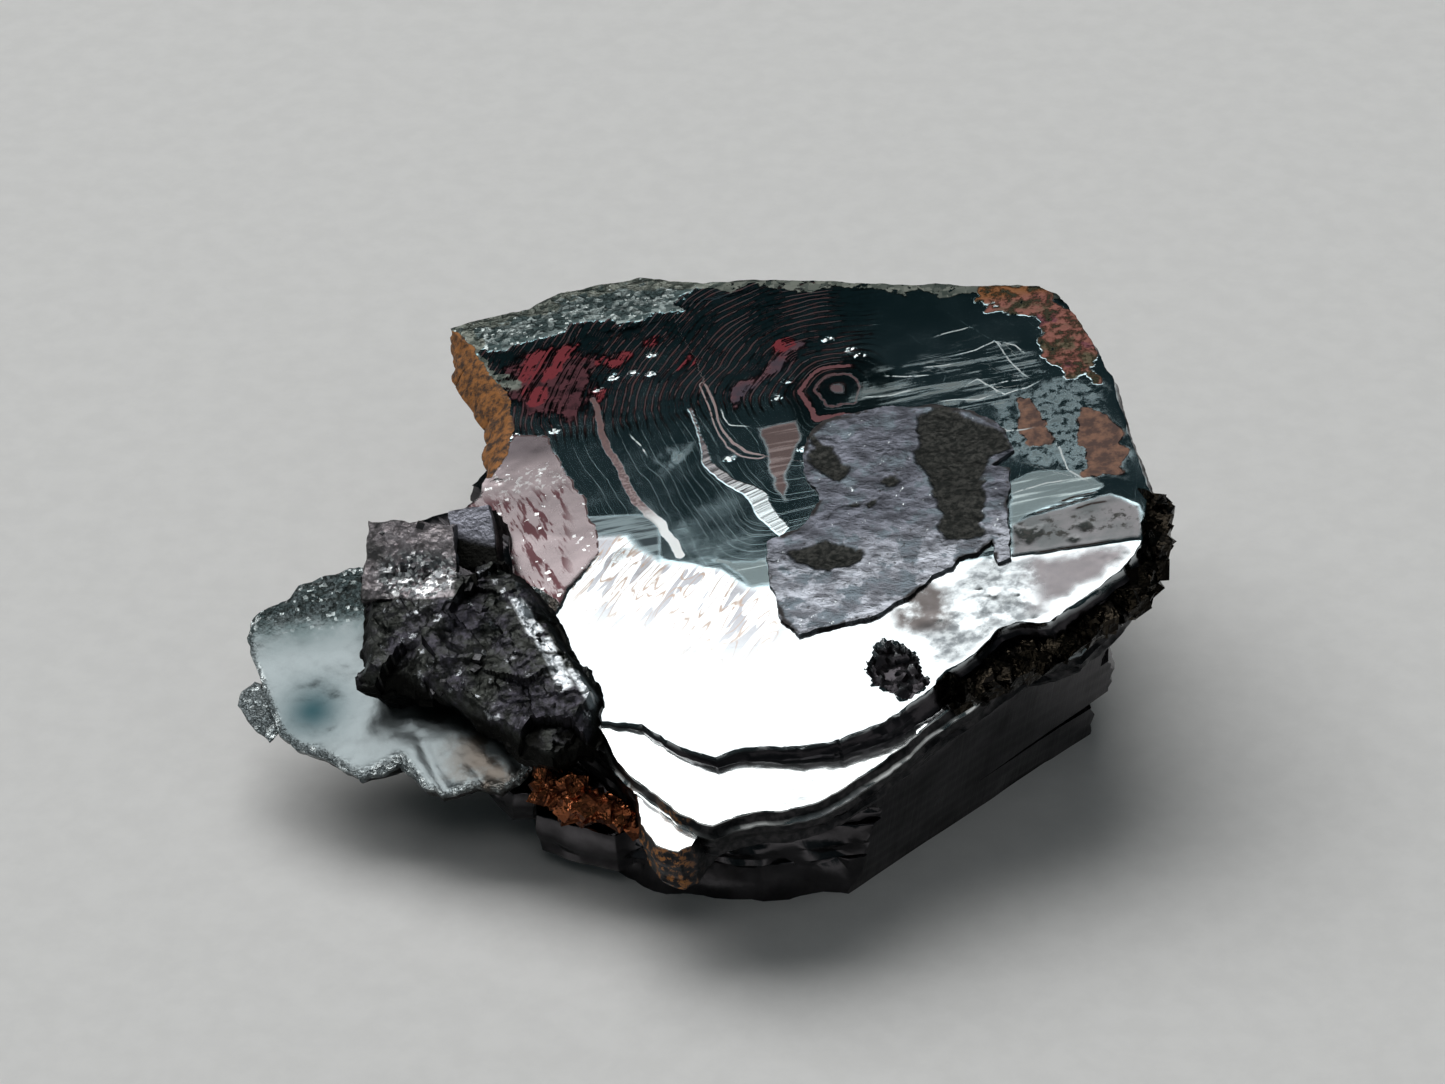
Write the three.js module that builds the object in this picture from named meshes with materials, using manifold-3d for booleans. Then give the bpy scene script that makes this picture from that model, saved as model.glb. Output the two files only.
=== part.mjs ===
// A hematite rose: one intergrown stack of flat, bevelled plates of hematite.
// Millimetres, +Z up, standing on its flat underside, +Y to the back.
//
// The big bright crystal is drawn in its own plane: u to the right, v to the back, w out of
// the face, with u = v = w = 0 at its foremost corner. Every other plate has a plane like it,
// tipped a little less or a little more, because the plates of a rose fan out.

import * as THREE from 'three';
import { mergeVertices } from 'three/addons/utils/BufferGeometryUtils.js';
import Module from 'manifold-3d';

const wasm = await Module();
wasm.setup();

// ---------------------------------------------------------------- driving dimensions

const FACE = { at: [-0.22, -12.29, 6.0], forward: 5.74, left: 10.7 };   // the big face
const FACE_THICKNESS = 1.8;
const FACE_BEVEL = 0.12;          // how far the side of the big crystal swells out
// the second and third plates: how far their planes start under and ahead of the big face's
const LIP = { under: 0.5, ahead: 0.5, forward: 5.74, left: 7.1, thickness: 1.3 };
const HEEL = { under: 0.95, ahead: 0.5, forward: 6.5, left: 7.1, thickness: 1.6 };
const KEEL_FACET = { at: [7.9, -7.4, 0], turn: -45, lean: 8 };   // the large flat side facet
const GROWTH_STEP = 0.08;         // one growth step of the big face
const FILM_THICKNESS = 0.14;      // the later film on the big face
const PIT_DEPTH = 0.28;           // how deep the gaps in the film are
const WING = { at: [-13.02, -6.52, 4.0], forward: 18, left: 8 };        // the silvery plate
const WING_EDGE = 0.42;
const WING_MIDDLE = [3.6, 0];     // the point of its plane that its rings shrink towards
const BLOCK_RISE = 1.7;           // the granular block's top above the wing
const BLOCK_MIDDLE = [6, -0.6];
// the blocky crystal and the striated facet behind the block: size along u, v and down
const BLOCKY_CRYSTAL = { at: [-9.6, -4.5, 7.5], forward: 44, left: -2, size: [2.7, 2.4, 2] };
const STRIATED_FACET = { at: [-7.75, -3.0, 7.3], forward: 38, left: 14, size: [1.3, 1.9, 2.6] };
const BLOCK_GRAINS = { count: 8, size: 0.75, spread: 0.25 };
const TIP_GRAINS = { count: 11, size: 0.95, spread: 0.15 };
const SIDE_GRAINS = { count: 12, size: 0.8, spread: 0.1 };
const RUSTY_GRAINS = { count: 11, size: 0.9, spread: 0.3 };
const GRAIN_SEED = 20;
const DETAIL = 0.02;              // the finest detail that the solid keeps
const BEYOND = 40;                // further out than any part of the rose

// ---------------------------------------------------------------- outlines, in plate planes

// counterclockwise seen from above, starting at the foremost corner
const FACE_OUTLINE = [
  [0, 0], [0.8, 0.2], [2.5, 0], [3.7, -0.1], [4.6, 0.25], [5.5, 0.7], [6.3, 1.4], [7, 2.2],
  [7.7, 2.6], [8.2, 3.2], [8.7, 3.6], [9.2, 3.75], [10.2, 3.6], [10.9, 4.1], [11.7, 4.7],
  [12.7, 5.8], [13.1, 6.4], [13.35, 7.5], [13.7, 8.8], [13.3, 11.8], [13, 14.5], [12.7, 16],
  [12.3, 17.7], [11.8, 18.9], [11.2, 19.9], [9.1, 20.4], [6.6, 21.1], [4.6, 21.8], [1.9, 22.6],
  [-0.1, 23], [-2.2, 23.7], [-3.5, 23.8], [-4.9, 23.7], [-6, 23], [-7, 23], [-8, 22.9],
  [-8.7, 22.7], [-8, 21.6], [-7.3, 19.8], [-6.6, 18.3], [-6.5, 16.7], [-6.8, 15.5],
  [-7.2, 14.6], [-7.5, 13.6], [-8.1, 12.8], [-7.35, 10.4], [-6.5, 9.5], [-6, 8.7], [-5.4, 7.6],
  [-4.7, 6.1], [-4.1, 4.8], [-3.5, 3.5], [-3.45, 2.3], [-2.2, 1.9], [-1.5, 1.1], [-0.7, 0.4],
];
const FLANK_OUTLINE = [[-5.8, 18], [-6.6, 22.6], [-8.2, 23], [-9.1, 22.3], [-8.4, 20],
  [-7.9, 17.6], [-7.7, 15.6], [-6.4, 14.4]];
const FLANK_ROOT = [-6, 19.5];
const LIP_OUTLINE = [
  [-3.5, 2.5], [-3, 1.1], [-2.4, 0.2], [-1.8, -0.5], [-1.2, -1.2], [-0.6, -1.7], [-0.2, -1.9],
  [0.5, -1.6], [2, -1.6], [2.9, -1.4], [3.7, -0.9], [4.7, -0.1], [6.3, 1.5], [7.9, 2.8],
  [9.3, 4], [10.9, 4.3], [12.3, 5.9], [13, 7.2], [13.3, 9.5], [12.7, 12.6], [12.8, 15.2],
  [11.9, 18.2], [10.6, 19.2], [8.8, 19.4], [5.2, 20.9], [2.6, 21.4], [-0.6, 22.4],
  [-3, 22.2], [-5, 22.5], [-6.5, 21.9], [-6.8, 20.6], [-6.2, 18.2], [-6.1, 15.8], [-6.7, 13.2],
  [-6.7, 10.4], [-6, 8.2], [-5, 5.6], [-4.2, 3.9],
];
const HEEL_OUTLINE = [
  [-2.9, 1.3], [-2.5, 0.2], [-2.3, -1.1], [-1.9, -2], [-1.3, -2.4], [-0.9, -2.2],
  [-0.4, -1.2], [1.5, -0.4], [4, 0.3], [6, 2], [8, 3.9], [10.3, 5.6], [11.8, 7.8], [12.1, 10.5],
  [11.6, 14.2], [10.8, 17.5], [8.5, 20.4], [5, 22.4], [1, 23.9], [-3.2, 23.2], [-6, 22],
  [-6.5, 18.8], [-6.3, 15], [-6.6, 10.8], [-5.7, 6], [-4.4, 3.2],
];
// the plates underneath, on the ground plane, before the large facet cuts them off
const KEEL_OUTLINE = [
  [-4.8, -8.8], [-2.4, -11.2], [1, -11.7], [5.2, -11.2], [12.1, -4.7], [11.4, 0], [9.6, 4.6],
  [2.6, 7.6], [-3.4, 7.9], [-7.6, 2.4], [-6.6, -4.6],
];
const KEEL_PIVOT = [6, -8.5];     // by the large facet, which all of these plates reach
// height of the top at the pivot, thickness, size, and turn and tips in degrees
const KEEL_PLATES = [
  { top: 1.3, thickness: 3, size: 0.96, turn: 1, forward: 0, left: 0 },
  { top: 2.7, thickness: 1.5, size: 1.03, turn: -2, forward: 1, left: 2.5 },
  { top: 3.6, thickness: 1.3, size: 0.94, turn: -3, forward: 3, left: 3.5 },
  { top: 4.5, thickness: 1.2, size: 1.06, turn: -5, forward: 4.5, left: 5 },
  { top: 5.3, thickness: 1.6, size: 0.98, turn: -7, forward: 5.5, left: 6 },
];
const HEX_PLATES = [
  { at: [-3.4, 6.6, 3.1], radius: 5, thickness: 1, stretch: 0.8, turn: 12, forward: -9, left: 6 },
  { at: [4.8, 6, 4.5], radius: 5, thickness: 1.1, stretch: 0.85, turn: 25, forward: -7, left: 12 },
  { at: [3, 6.2, 1.8], radius: 4.3, thickness: 0.9, stretch: 0.9, turn: 40, forward: -13, left: -4 },
  { at: [7.4, 2.4, 2.8], radius: 4.4, thickness: 1, stretch: 0.9, turn: 5, forward: -5, left: 14 },
  { at: [-6, -2.2, 2.2], radius: 4.4, thickness: 1.1, stretch: 0.95, turn: 20, forward: 6, left: -8 },
  { at: [-6, 3, 2.4], radius: 3.6, thickness: 0.9, stretch: 1.1, turn: 50, forward: -2, left: 10 },
  { at: [-5.2, -7.4, 2.6], radius: 3, thickness: 1.3, stretch: 0.9, turn: 8, forward: 14, left: -3 },
  { at: [-3.4, -9, 1.7], radius: 2.7, thickness: 1.5, stretch: 0.9, turn: 34, forward: 5, left: 4 },
  { at: [-9.7, -3.1, 5.7], radius: 1.5, thickness: 1.3, stretch: 0.9, turn: 10, forward: 12, left: 6 },
  { at: [-8.4, -3, 6.2], radius: 2, thickness: 1.2, stretch: 0.9, turn: 38, forward: 8, left: -12 },
];

// growth steps of the big face, each a step higher than the one before
const GROWTH_OUTLINES = [
  [[-3.5, 11.5], [-2.2, 11], [-0.9, 9.5], [1.9, 9], [4, 8.5], [8, 7.5], [9.3, 6.8],
    [14, 6.2], [14, 21], [8, 23], [1, 25], [-4.5, 24.5], [-5.6, 19], [-5.2, 16.4],
    [-4.8, 15.3], [-4.3, 14.1], [-3.8, 12.5]],
  [[-0.9, 9.5], [1.9, 9.2], [4, 8.8], [8, 8.2], [10.5, 8.7], [14, 8.8], [14, 21], [8, 23],
    [1.5, 23.5], [-1.1, 21.6], [-2.6, 20.4], [-3.6, 18.9], [-3.9, 17.6], [-3.9, 16.7],
    [-3.6, 15.9], [-3.1, 13.9], [-2.5, 12.2], [-2, 11.3], [-1.4, 10.5]],
  [[2.1, 9.2], [4, 8.9], [7, 8.6], [9.4, 9.4], [10.4, 12], [11, 15], [10.5, 18], [9, 20],
    [6, 20.9], [3.5, 20.8], [1.8, 20.1], [0.5, 19.2], [-0.3, 18.1], [-0.7, 16.6],
    [-0.4, 15.2], [-0.2, 13.6], [0.1, 12.8], [0.5, 12.1], [1, 11.5], [1.4, 10.5], [1.8, 9.8]],
  [[1.6, 13.3], [3.2, 12.6], [6, 12.2], [9, 13.6], [9.6, 15.5], [9, 17.5], [7.5, 19],
    [5, 19.7], [3.2, 19.5], [1.8, 18.8], [0.5, 17.8], [0.1, 16.4], [0.4, 15], [0.7, 14.2],
    [1.2, 13.5]],
  [[3.1, 15.4], [3.6, 14.8], [4.6, 14.7], [5.6, 15.2], [5.9, 16], [5.4, 16.9], [4.5, 17.4],
    [3.8, 17.4], [3.4, 17.1], [3.1, 16.4]],
];
const FILM_OUTLINE = [
  [2, 6.4], [2.3, 5.6], [2.7, 4.9], [3.2, 4.7], [3.8, 5], [4.2, 5.3], [5.2, 5.4], [5.8, 6],
  [6.5, 6.7], [7.3, 7], [8.1, 7.7], [8.5, 8.1], [8.6, 10.5], [8.2, 11.6], [7.8, 13.2],
  [7, 13.4], [6.7, 13.7], [5.9, 14.7], [4.7, 14.9], [3.7, 15], [3, 14.6], [3, 13.9],
  [3.1, 12.2], [3.5, 10.6], [3.1, 9.6], [1.9, 9], [1.8, 7.1],
];
const FILM_SLIVER = [[8.9, 6.9], [9.2, 6.5], [9.25, 7.5], [9.3, 9.4], [9.5, 10.8], [9.2, 11.1],
  [8.7, 10.7], [8.6, 10], [8.6, 8.6]];
const PIT_OUTLINES = [
  [[7, 13.1], [7.7, 13], [8, 11.5], [8.35, 10.4], [8.2, 8.4], [7.8, 8], [7.3, 8.7], [7, 10.4]],
  [[3.5, 13.6], [4.1, 13.3], [4.5, 12], [4.3, 11.2], [3.8, 11.6], [3.4, 12.6]],
  [[2.6, 8.4], [3.6, 8.5], [4.9, 7.9], [4.8, 7.4], [3.6, 7.3], [2.7, 7.8]],
  [[4.8, 3.7], [4.7, 2.6], [5.1, 1.7], [5.7, 1.5], [6.2, 2.5], [6.1, 3.4], [5.4, 3.9]],
];
const WING_OUTLINE = [
  [-1.7, 2.1], [-1.6, 1.4], [-1.2, 0.2], [-0.9, -0.7], [-0.6, -1.6], [0, -2.2], [0.7, -2.5],
  [1.3, -3], [1.9, -3.5], [2.4, -3.3], [3.1, -3], [3.6, -3.7], [3.9, -4.2], [4.4, -4.6],
  [5, -4.5], [5.6, -4.4], [6.2, -4.7], [6.7, -4.4], [7.6, -3.4], [8.6, -1.4], [8.6, 1.6],
  [6.6, 3.6], [3.1, 4.3], [1.5, 4.5], [0.7, 4.3], [-0.1, 4], [-0.5, 3.5], [-1.3, 3.2],
  [-1.6, 2.8],
];
const WING_CHIP = [[-2, -0.1], [-1.7, -0.7], [-1, -1.6], [-0.4, -0.9], [-1, 0.4], [-1.5, 0.7],
  [-1.9, 0.4]];
const BLOCK_OUTLINE = [
  [2.2, 1], [2.1, 0.3], [2.3, -0.2], [2.2, -1], [3.5, -1.2], [4.7, -1.9], [5.6, -2.7],
  [6.4, -3.3], [7.1, -4.2], [8, -4.7], [8.8, -4.4], [9.3, -4.1], [9.5, -3.4], [9.6, -2.5],
  [8.6, -0.5], [8, 1.2], [7.4, 2.4], [6.4, 3.2], [4.6, 3], [2.4, 2.4],
];

// rows of small crystals: on the block, in the wing's plane
const BLOCK_ROWS = [
  [[2.8, 0.6, 1.7], [4.4, 0.3, 1.8], [6.2, 1.2, 1.9], [7.4, 1.4, 1.8]],
  [[2.9, -0.7, 1.6], [4.6, -1.1, 1.75], [6.4, -1.5, 1.85], [8.4, -1.6, 1.8]],
  [[3.6, -0.4, 1.7], [5.4, -0.6, 1.9], [7.2, -0.8, 1.95], [8.8, -1.2, 1.8]],
  [[5.6, -2, 1.7], [6.8, -3, 1.7], [8, -3.8, 1.6], [9, -3.3, 1.65]],
];
// on the right tip and along the right side, in the big face's plane
const TIP_ROW = [[12.5, 4.9, -1], [13.3, 5.5, -0.8], [13.7, 6.8, -0.6], [13.6, 8.6, -0.5]];
const SIDE_ROW = [[7.2, 2, -1.1], [9.2, 3.5, -1.2], [11, 4, -1.3], [12.6, 5.4, -1.4]];
// under the front, standing free of any plane
const RUSTY_ROW = [[-5.4, -10.7, 3.7], [-4.4, -11.4, 3.5], [-3.2, -11.8, 3.4], [-2.2, -11.9, 3.3]];

// ---------------------------------------------------------------- mesh helpers

function plateFrame({ at, forward, left }) {
  const frame = new THREE.Matrix4().makeRotationY(THREE.MathUtils.degToRad(-left));
  frame.multiply(new THREE.Matrix4().makeRotationX(THREE.MathUtils.degToRad(forward)));
  return frame.setPosition(...at);
}

function belowFace({ under, ahead, forward, left }) {
  const at = new THREE.Vector3(0, -ahead, -under).applyMatrix4(plateFrame(FACE)).toArray();
  return plateFrame({ at, forward, left });
}

function solidOf(geometry, frame = new THREE.Matrix4()) {
  const placed = geometry.clone().applyMatrix4(frame);
  placed.deleteAttribute('normal');
  placed.deleteAttribute('uv');
  const merged = mergeVertices(placed, 1e-5);
  return new wasm.Manifold(new wasm.Mesh({
    numProp: 3,
    vertProperties: new Float32Array(merged.attributes.position.array),
    triVerts: new Uint32Array(merged.index.array),
  }));
}

function geometryOf(solid) {
  const mesh = solid.getMesh();
  const geometry = new THREE.BufferGeometry();
  geometry.setAttribute('position', new THREE.BufferAttribute(mesh.vertProperties, 3));
  geometry.setIndex(new THREE.BufferAttribute(mesh.triVerts, 1));
  return geometry;
}

function outlineShape(outline) {
  return new THREE.Shape(outline.map(([u, v]) => new THREE.Vector2(u, v)));
}

// a straight-sided slab over an outline, from one height to another
function slab(outline, low, high, frame) {
  const geometry = new THREE.ExtrudeGeometry(outlineShape(outline),
    { depth: high - low, bevelEnabled: false });
  return solidOf(geometry.translate(0, 0, low), frame);
}

// each point of an outline moved outwards, across the direction of its neighbours
function grown(outline, distance) {
  return outline.map(([u, v], i) => {
    const before = outline.at(i - 1);
    const after = outline[(i + 1) % outline.length];
    const along = new THREE.Vector2(after[0] - before[0], after[1] - before[1]).normalize();
    return [u + along.y * distance, v - along.x * distance];
  });
}

// a closed solid through rings of points, the lowest ring first, each ring with its own height
function loft(rings, frame) {
  const count = rings[0].length;
  const cap = THREE.ShapeUtils.triangulateShape(
    rings.at(-1).map(([u, v]) => new THREE.Vector2(u, v)), []);
  const index = [];
  for (let ring = 0; ring + 1 < rings.length; ring += 1) {
    for (let i = 0; i < count; i += 1) {
      const a = ring * count + i;
      const b = ring * count + (i + 1) % count;
      index.push(a, b, b + count, a, b + count, a + count);
    }
  }
  const top = (rings.length - 1) * count;
  for (const [a, b, c] of cap) {
    index.push(c, b, a);
    index.push(top + a, top + b, top + c);
  }
  const geometry = new THREE.BufferGeometry();
  geometry.setAttribute('position', new THREE.Float32BufferAttribute(rings.flat(2), 3));
  geometry.setIndex(index);
  return solidOf(geometry, frame);
}

function ringAt(outline, height) {
  return outline.map(([u, v]) => [u, v, height]);
}

function scaled(outline, factor, [cu, cv]) {
  return outline.map(([u, v]) => [cu + (u - cu) * factor, cv + (v - cv) * factor]);
}

// a plate with a swollen side that is bevelled above and below
function bevelledPlate(outline, thickness, bevel, frame) {
  return loft([
    ringAt(grown(outline, -2 * bevel), -thickness),
    ringAt(grown(outline, bevel), -0.55 * thickness),
    ringAt(grown(outline, bevel), -0.2 * thickness),
    ringAt(outline, 0),
  ], frame);
}

function join(solids) {
  return solids.reduce((whole, next) => whole.add(next));
}

// the outer skin alone: a pocket sealed in between the plates is filled and no crumb is loose
function outerSkin(solid) {
  return solid.simplify(DETAIL).decompose().reduce((a, b) => (a.volume() > b.volume() ? a : b));
}

function randomSource(seed) {
  let state = seed;
  return (low = 0, high = 1) => {
    state = (state * 1103515245 + 12345) % 2147483648;
    return low + (high - low) * state / 2147483648;
  };
}

const random = randomSource(GRAIN_SEED);

// one small blocky crystal, leaning at random
function grain([x, y, z], size) {
  const geometry = new THREE.BoxGeometry(size, size * random(0.6, 1), size * random(0.4, 0.8));
  geometry.rotateX(random(-0.5, 0.5)).rotateY(random(-0.5, 0.5)).rotateZ(random(0, Math.PI));
  return solidOf(geometry.translate(x, y, z));
}

// small crystals strewn along a path between points of a plate's plane
function grainsAlong(path, { count, size, spread }, frame = new THREE.Matrix4()) {
  const curve = new THREE.CatmullRomCurve3(path.map((point) => new THREE.Vector3(...point)));
  return Array.from({ length: count }, (_, i) => {
    const middle = curve.getPoint((i + 0.5) / count);
    middle.add(new THREE.Vector3(random(-spread, spread), random(-spread, spread), 0));
    return grain(middle.applyMatrix4(frame).toArray(), random(0.6, 1.3) * size);
  });
}

// a six-sided plate of the hidden sides
function hexPlate({ at, radius, thickness, stretch, turn, forward, left }) {
  const geometry = new THREE.CylinderGeometry(radius, radius * 0.92, thickness, 6);
  geometry.rotateX(Math.PI / 2).scale(1, stretch, 1);
  geometry.rotateZ(THREE.MathUtils.degToRad(turn));
  return solidOf(geometry, plateFrame({ at, forward, left }));
}

// ---------------------------------------------------------------- the crystals

const facePlane = plateFrame(FACE);
const lipPlane = belowFace(LIP);
const heelPlane = belowFace(HEEL);
const wingPlane = plateFrame(WING);

// the big crystal: growth steps, the later film with its gaps, and its swollen sides
function bigCrystal() {
  const rooted = -0.3;
  const clear = 2;
  const column = slab(FACE_OUTLINE, 2 * rooted, clear, facePlane);
  const steps = GROWTH_OUTLINES.map((outline, i) =>
    slab(outline, rooted, (i + 1) * GROWTH_STEP, facePlane).intersect(column));
  const filmTop = 3 * GROWTH_STEP + FILM_THICKNESS;
  const film = [FILM_OUTLINE, FILM_SLIVER].map((outline) =>
    slab(outline, rooted, filmTop, facePlane));
  const pits = PIT_OUTLINES.map((outline) =>
    slab(outline, filmTop - FILM_THICKNESS - PIT_DEPTH, clear, facePlane));
  const flank = loft([
    ringAt(scaled(FLANK_OUTLINE, 0.85, FLANK_ROOT), -FACE_THICKNESS),
    ringAt(FLANK_OUTLINE, -1),
    ringAt(scaled(FLANK_OUTLINE, 0.6, FLANK_ROOT), -0.05),
  ], facePlane);
  const body = bevelledPlate(FACE_OUTLINE, FACE_THICKNESS, FACE_BEVEL, facePlane);
  return join([body, flank, ...steps, ...film]).subtract(join(pits));
}

function lowerPlates() {
  return join([
    bevelledPlate(LIP_OUTLINE, LIP.thickness, FACE_BEVEL, lipPlane),
    bevelledPlate(HEEL_OUTLINE, HEEL.thickness, FACE_BEVEL, heelPlane),
  ]);
}

// the stack of plates underneath, with one large facet on its right and a fan at its back
function keel() {
  const pivot = new THREE.Vector2(...KEEL_PIVOT);
  const stack = KEEL_PLATES.map(({ top, thickness, size, turn, forward, left }) => {
    const turned = ([x, y]) => new THREE.Vector2(x, y).sub(pivot).multiplyScalar(size)
      .rotateAround(new THREE.Vector2(), THREE.MathUtils.degToRad(turn)).toArray();
    const frame = plateFrame({ at: [...KEEL_PIVOT, top], forward, left });
    return bevelledPlate(KEEL_OUTLINE.map(turned), thickness, FACE_BEVEL, frame);
  });
  const cutter = new THREE.BoxGeometry(BEYOND, BEYOND, BEYOND).translate(BEYOND / 2, 0, 0);
  cutter.rotateY(THREE.MathUtils.degToRad(KEEL_FACET.lean));
  cutter.rotateZ(THREE.MathUtils.degToRad(KEEL_FACET.turn)).translate(...KEEL_FACET.at);
  return join([...stack, ...HEX_PLATES.map(hexPlate)]).subtract(solidOf(cutter));
}

// the silvery plate on the left, thin at its edge and thick where it grows out of the rose
function wing() {
  const ripple = (factor, height, swing) =>
    scaled(WING_OUTLINE, factor, WING_MIDDLE).map(([u, v], i) =>
      [u, v, height + swing * Math.sin(i * 1.9)]);
  const plate = loft([
    ringAt(scaled(WING_OUTLINE, 0.6, [5.2, 0]), -2.2),
    ringAt(scaled(WING_OUTLINE, 0.92, WING_MIDDLE), -WING_EDGE - 0.35),
    ringAt(grown(WING_OUTLINE, -0.1), -WING_EDGE),
    ringAt(WING_OUTLINE, 0),
    ripple(0.8, 0.1, 0.07),
    ripple(0.5, 0.02, 0.09),
  ], wingPlane);
  return join([plate, slab(WING_CHIP, -0.75, -0.3, wingPlane)]);
}

// a blocky crystal whose top lies in its own plane
function blockyCrystal({ size: [width, depth, height], ...placing }) {
  const geometry = new THREE.BoxGeometry(width, depth, height).translate(0, 0, -height / 2);
  return solidOf(geometry, plateFrame(placing));
}

// the dark granular block on the wing, undercut at its front, with a few larger crystals
function granularBlock() {
  const body = loft([
    ringAt(scaled(BLOCK_OUTLINE, 0.75, [6.6, 0]), -0.6),
    ringAt(scaled(BLOCK_OUTLINE, 0.86, BLOCK_MIDDLE), 0.5 * BLOCK_RISE),
    ringAt(BLOCK_OUTLINE, 0.62 * BLOCK_RISE),
    ringAt(grown(BLOCK_OUTLINE, -0.15), BLOCK_RISE),
    ringAt(scaled(BLOCK_OUTLINE, 0.6, BLOCK_MIDDLE), BLOCK_RISE + 0.25),
  ], wingPlane);
  return join([
    body,
    blockyCrystal(BLOCKY_CRYSTAL),
    blockyCrystal(STRIATED_FACET),
    ...BLOCK_ROWS.flatMap((row) => grainsAlong(row, BLOCK_GRAINS, wingPlane)),
  ]);
}

// small blocky crystals on the right tip, along the right side and under the front
function smallCrystals() {
  return join([
    ...grainsAlong(TIP_ROW, TIP_GRAINS, facePlane),
    ...grainsAlong(SIDE_ROW, SIDE_GRAINS, facePlane),
    ...grainsAlong(RUSTY_ROW, RUSTY_GRAINS),
  ]);
}

// ---------------------------------------------------------------- the rose

function rose() {
  const ground = solidOf(new THREE.BoxGeometry(2 * BEYOND, 2 * BEYOND, BEYOND)
    .translate(0, 0, -BEYOND / 2));
  const solid = join([
    bigCrystal(), lowerPlates(), keel(), wing(), granularBlock(), smallCrystals(),
  ]);
  const geometry = geometryOf(outerSkin(solid.subtract(ground)));
  geometry.computeBoundingBox();
  const centre = geometry.boundingBox.getCenter(new THREE.Vector3());
  geometry.translate(-centre.x, -centre.y, 0);
  const mesh = new THREE.Mesh(geometry, new THREE.MeshStandardMaterial(
    { color: 0x3a3b40, roughness: 0.22, metalness: 0.9 }));
  mesh.name = 'hematite_rose';
  return mesh;
}

const part = new THREE.Group();
part.add(rose());

export default part;
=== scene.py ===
"""A hematite rose: fanned mirror-bright plates, a dark granular side cluster and a little rust.

The crystals are drawn in millimetres, each in its own plane: u to the right, v to the back and
w out of its face. Everything that is put into the scene is in metres.
"""

import math
from itertools import product

import bpy
import numpy as np
from mathutils import Matrix, Vector
from mathutils.geometry import delaunay_2d_cdt

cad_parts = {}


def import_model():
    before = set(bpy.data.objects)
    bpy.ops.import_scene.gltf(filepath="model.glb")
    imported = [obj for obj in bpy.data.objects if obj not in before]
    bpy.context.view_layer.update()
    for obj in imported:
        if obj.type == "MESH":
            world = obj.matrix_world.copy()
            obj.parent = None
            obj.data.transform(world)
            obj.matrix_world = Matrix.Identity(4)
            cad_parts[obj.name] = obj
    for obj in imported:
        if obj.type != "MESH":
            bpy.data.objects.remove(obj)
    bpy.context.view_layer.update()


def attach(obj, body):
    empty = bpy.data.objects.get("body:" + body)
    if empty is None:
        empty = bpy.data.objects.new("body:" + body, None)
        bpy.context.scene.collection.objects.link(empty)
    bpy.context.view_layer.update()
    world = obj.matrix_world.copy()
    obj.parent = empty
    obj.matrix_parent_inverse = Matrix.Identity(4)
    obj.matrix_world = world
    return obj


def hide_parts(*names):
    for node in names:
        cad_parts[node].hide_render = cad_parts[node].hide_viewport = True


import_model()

bl_info = {
    "name": "Hematite Rose",
    "version": (1, 0, 0),
    "blender": (4, 5, 0),
    "location": "View3D > Sidebar > Hematite Rose",
    "description": "Builds an intergrown hematite rose around its packed solid",
    "category": "Add Mesh",
}

NODE = "hematite_rose"
BODY = "root"
MM = 0.001

# ------------------------------------------------------------------ planes and outlines

MIDDLE = (-0.538, -1.774)     # middle of the base, in the coordinates that the planes are placed in

# each crystal's plane: where it starts, and how far it leans forward and to the left, in degrees
FACE = {"at": (-0.22, -12.29, 6.0), "forward": 5.74, "left": 10.7}
FACE_THICKNESS = 1.8
LIP = {"under": 0.5, "ahead": 0.5, "forward": 5.74, "left": 7.1}
LIP_THICKNESS = 1.3
HEEL = {"under": 0.95, "ahead": 0.5, "forward": 6.5, "left": 7.1}
HEEL_THICKNESS = 1.6
WING = {"at": (-13.02, -6.52, 4.0), "forward": 18, "left": 8}
WING_EDGE = 0.42
BLOCK_RISE = 1.7
KEEL_FACET = {"at": (7.9, -7.4, 0), "turn": -45, "lean": 8}
KEEL_PIVOT = (6, -8.5)

FACE_OUTLINE = [
    (0, 0), (0.8, 0.2), (2.5, 0), (3.7, -0.1), (4.6, 0.25), (5.5, 0.7), (6.3, 1.4), (7, 2.2),
    (7.7, 2.6), (8.2, 3.2), (8.7, 3.6), (9.2, 3.75), (10.2, 3.6), (10.9, 4.1), (11.7, 4.7),
    (12.7, 5.8), (13.1, 6.4), (13.35, 7.5), (13.7, 8.8), (13.3, 11.8), (13, 14.5), (12.7, 16),
    (12.3, 17.7), (11.8, 18.9), (11.2, 19.9), (9.1, 20.4), (6.6, 21.1), (4.6, 21.8),
    (1.9, 22.6), (-0.1, 23), (-2.2, 23.7), (-3.5, 23.8), (-4.9, 23.7), (-6, 23), (-7, 23),
    (-8, 22.9), (-8.7, 22.7), (-8, 21.6), (-7.3, 19.8), (-6.6, 18.3), (-6.5, 16.7),
    (-6.8, 15.5), (-7.2, 14.6), (-7.5, 13.6), (-8.1, 12.8), (-7.35, 10.4), (-6.5, 9.5),
    (-6, 8.7), (-5.4, 7.6), (-4.7, 6.1), (-4.1, 4.8), (-3.5, 3.5), (-3.45, 2.3), (-2.2, 1.9),
    (-1.5, 1.1), (-0.7, 0.4)]
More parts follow.
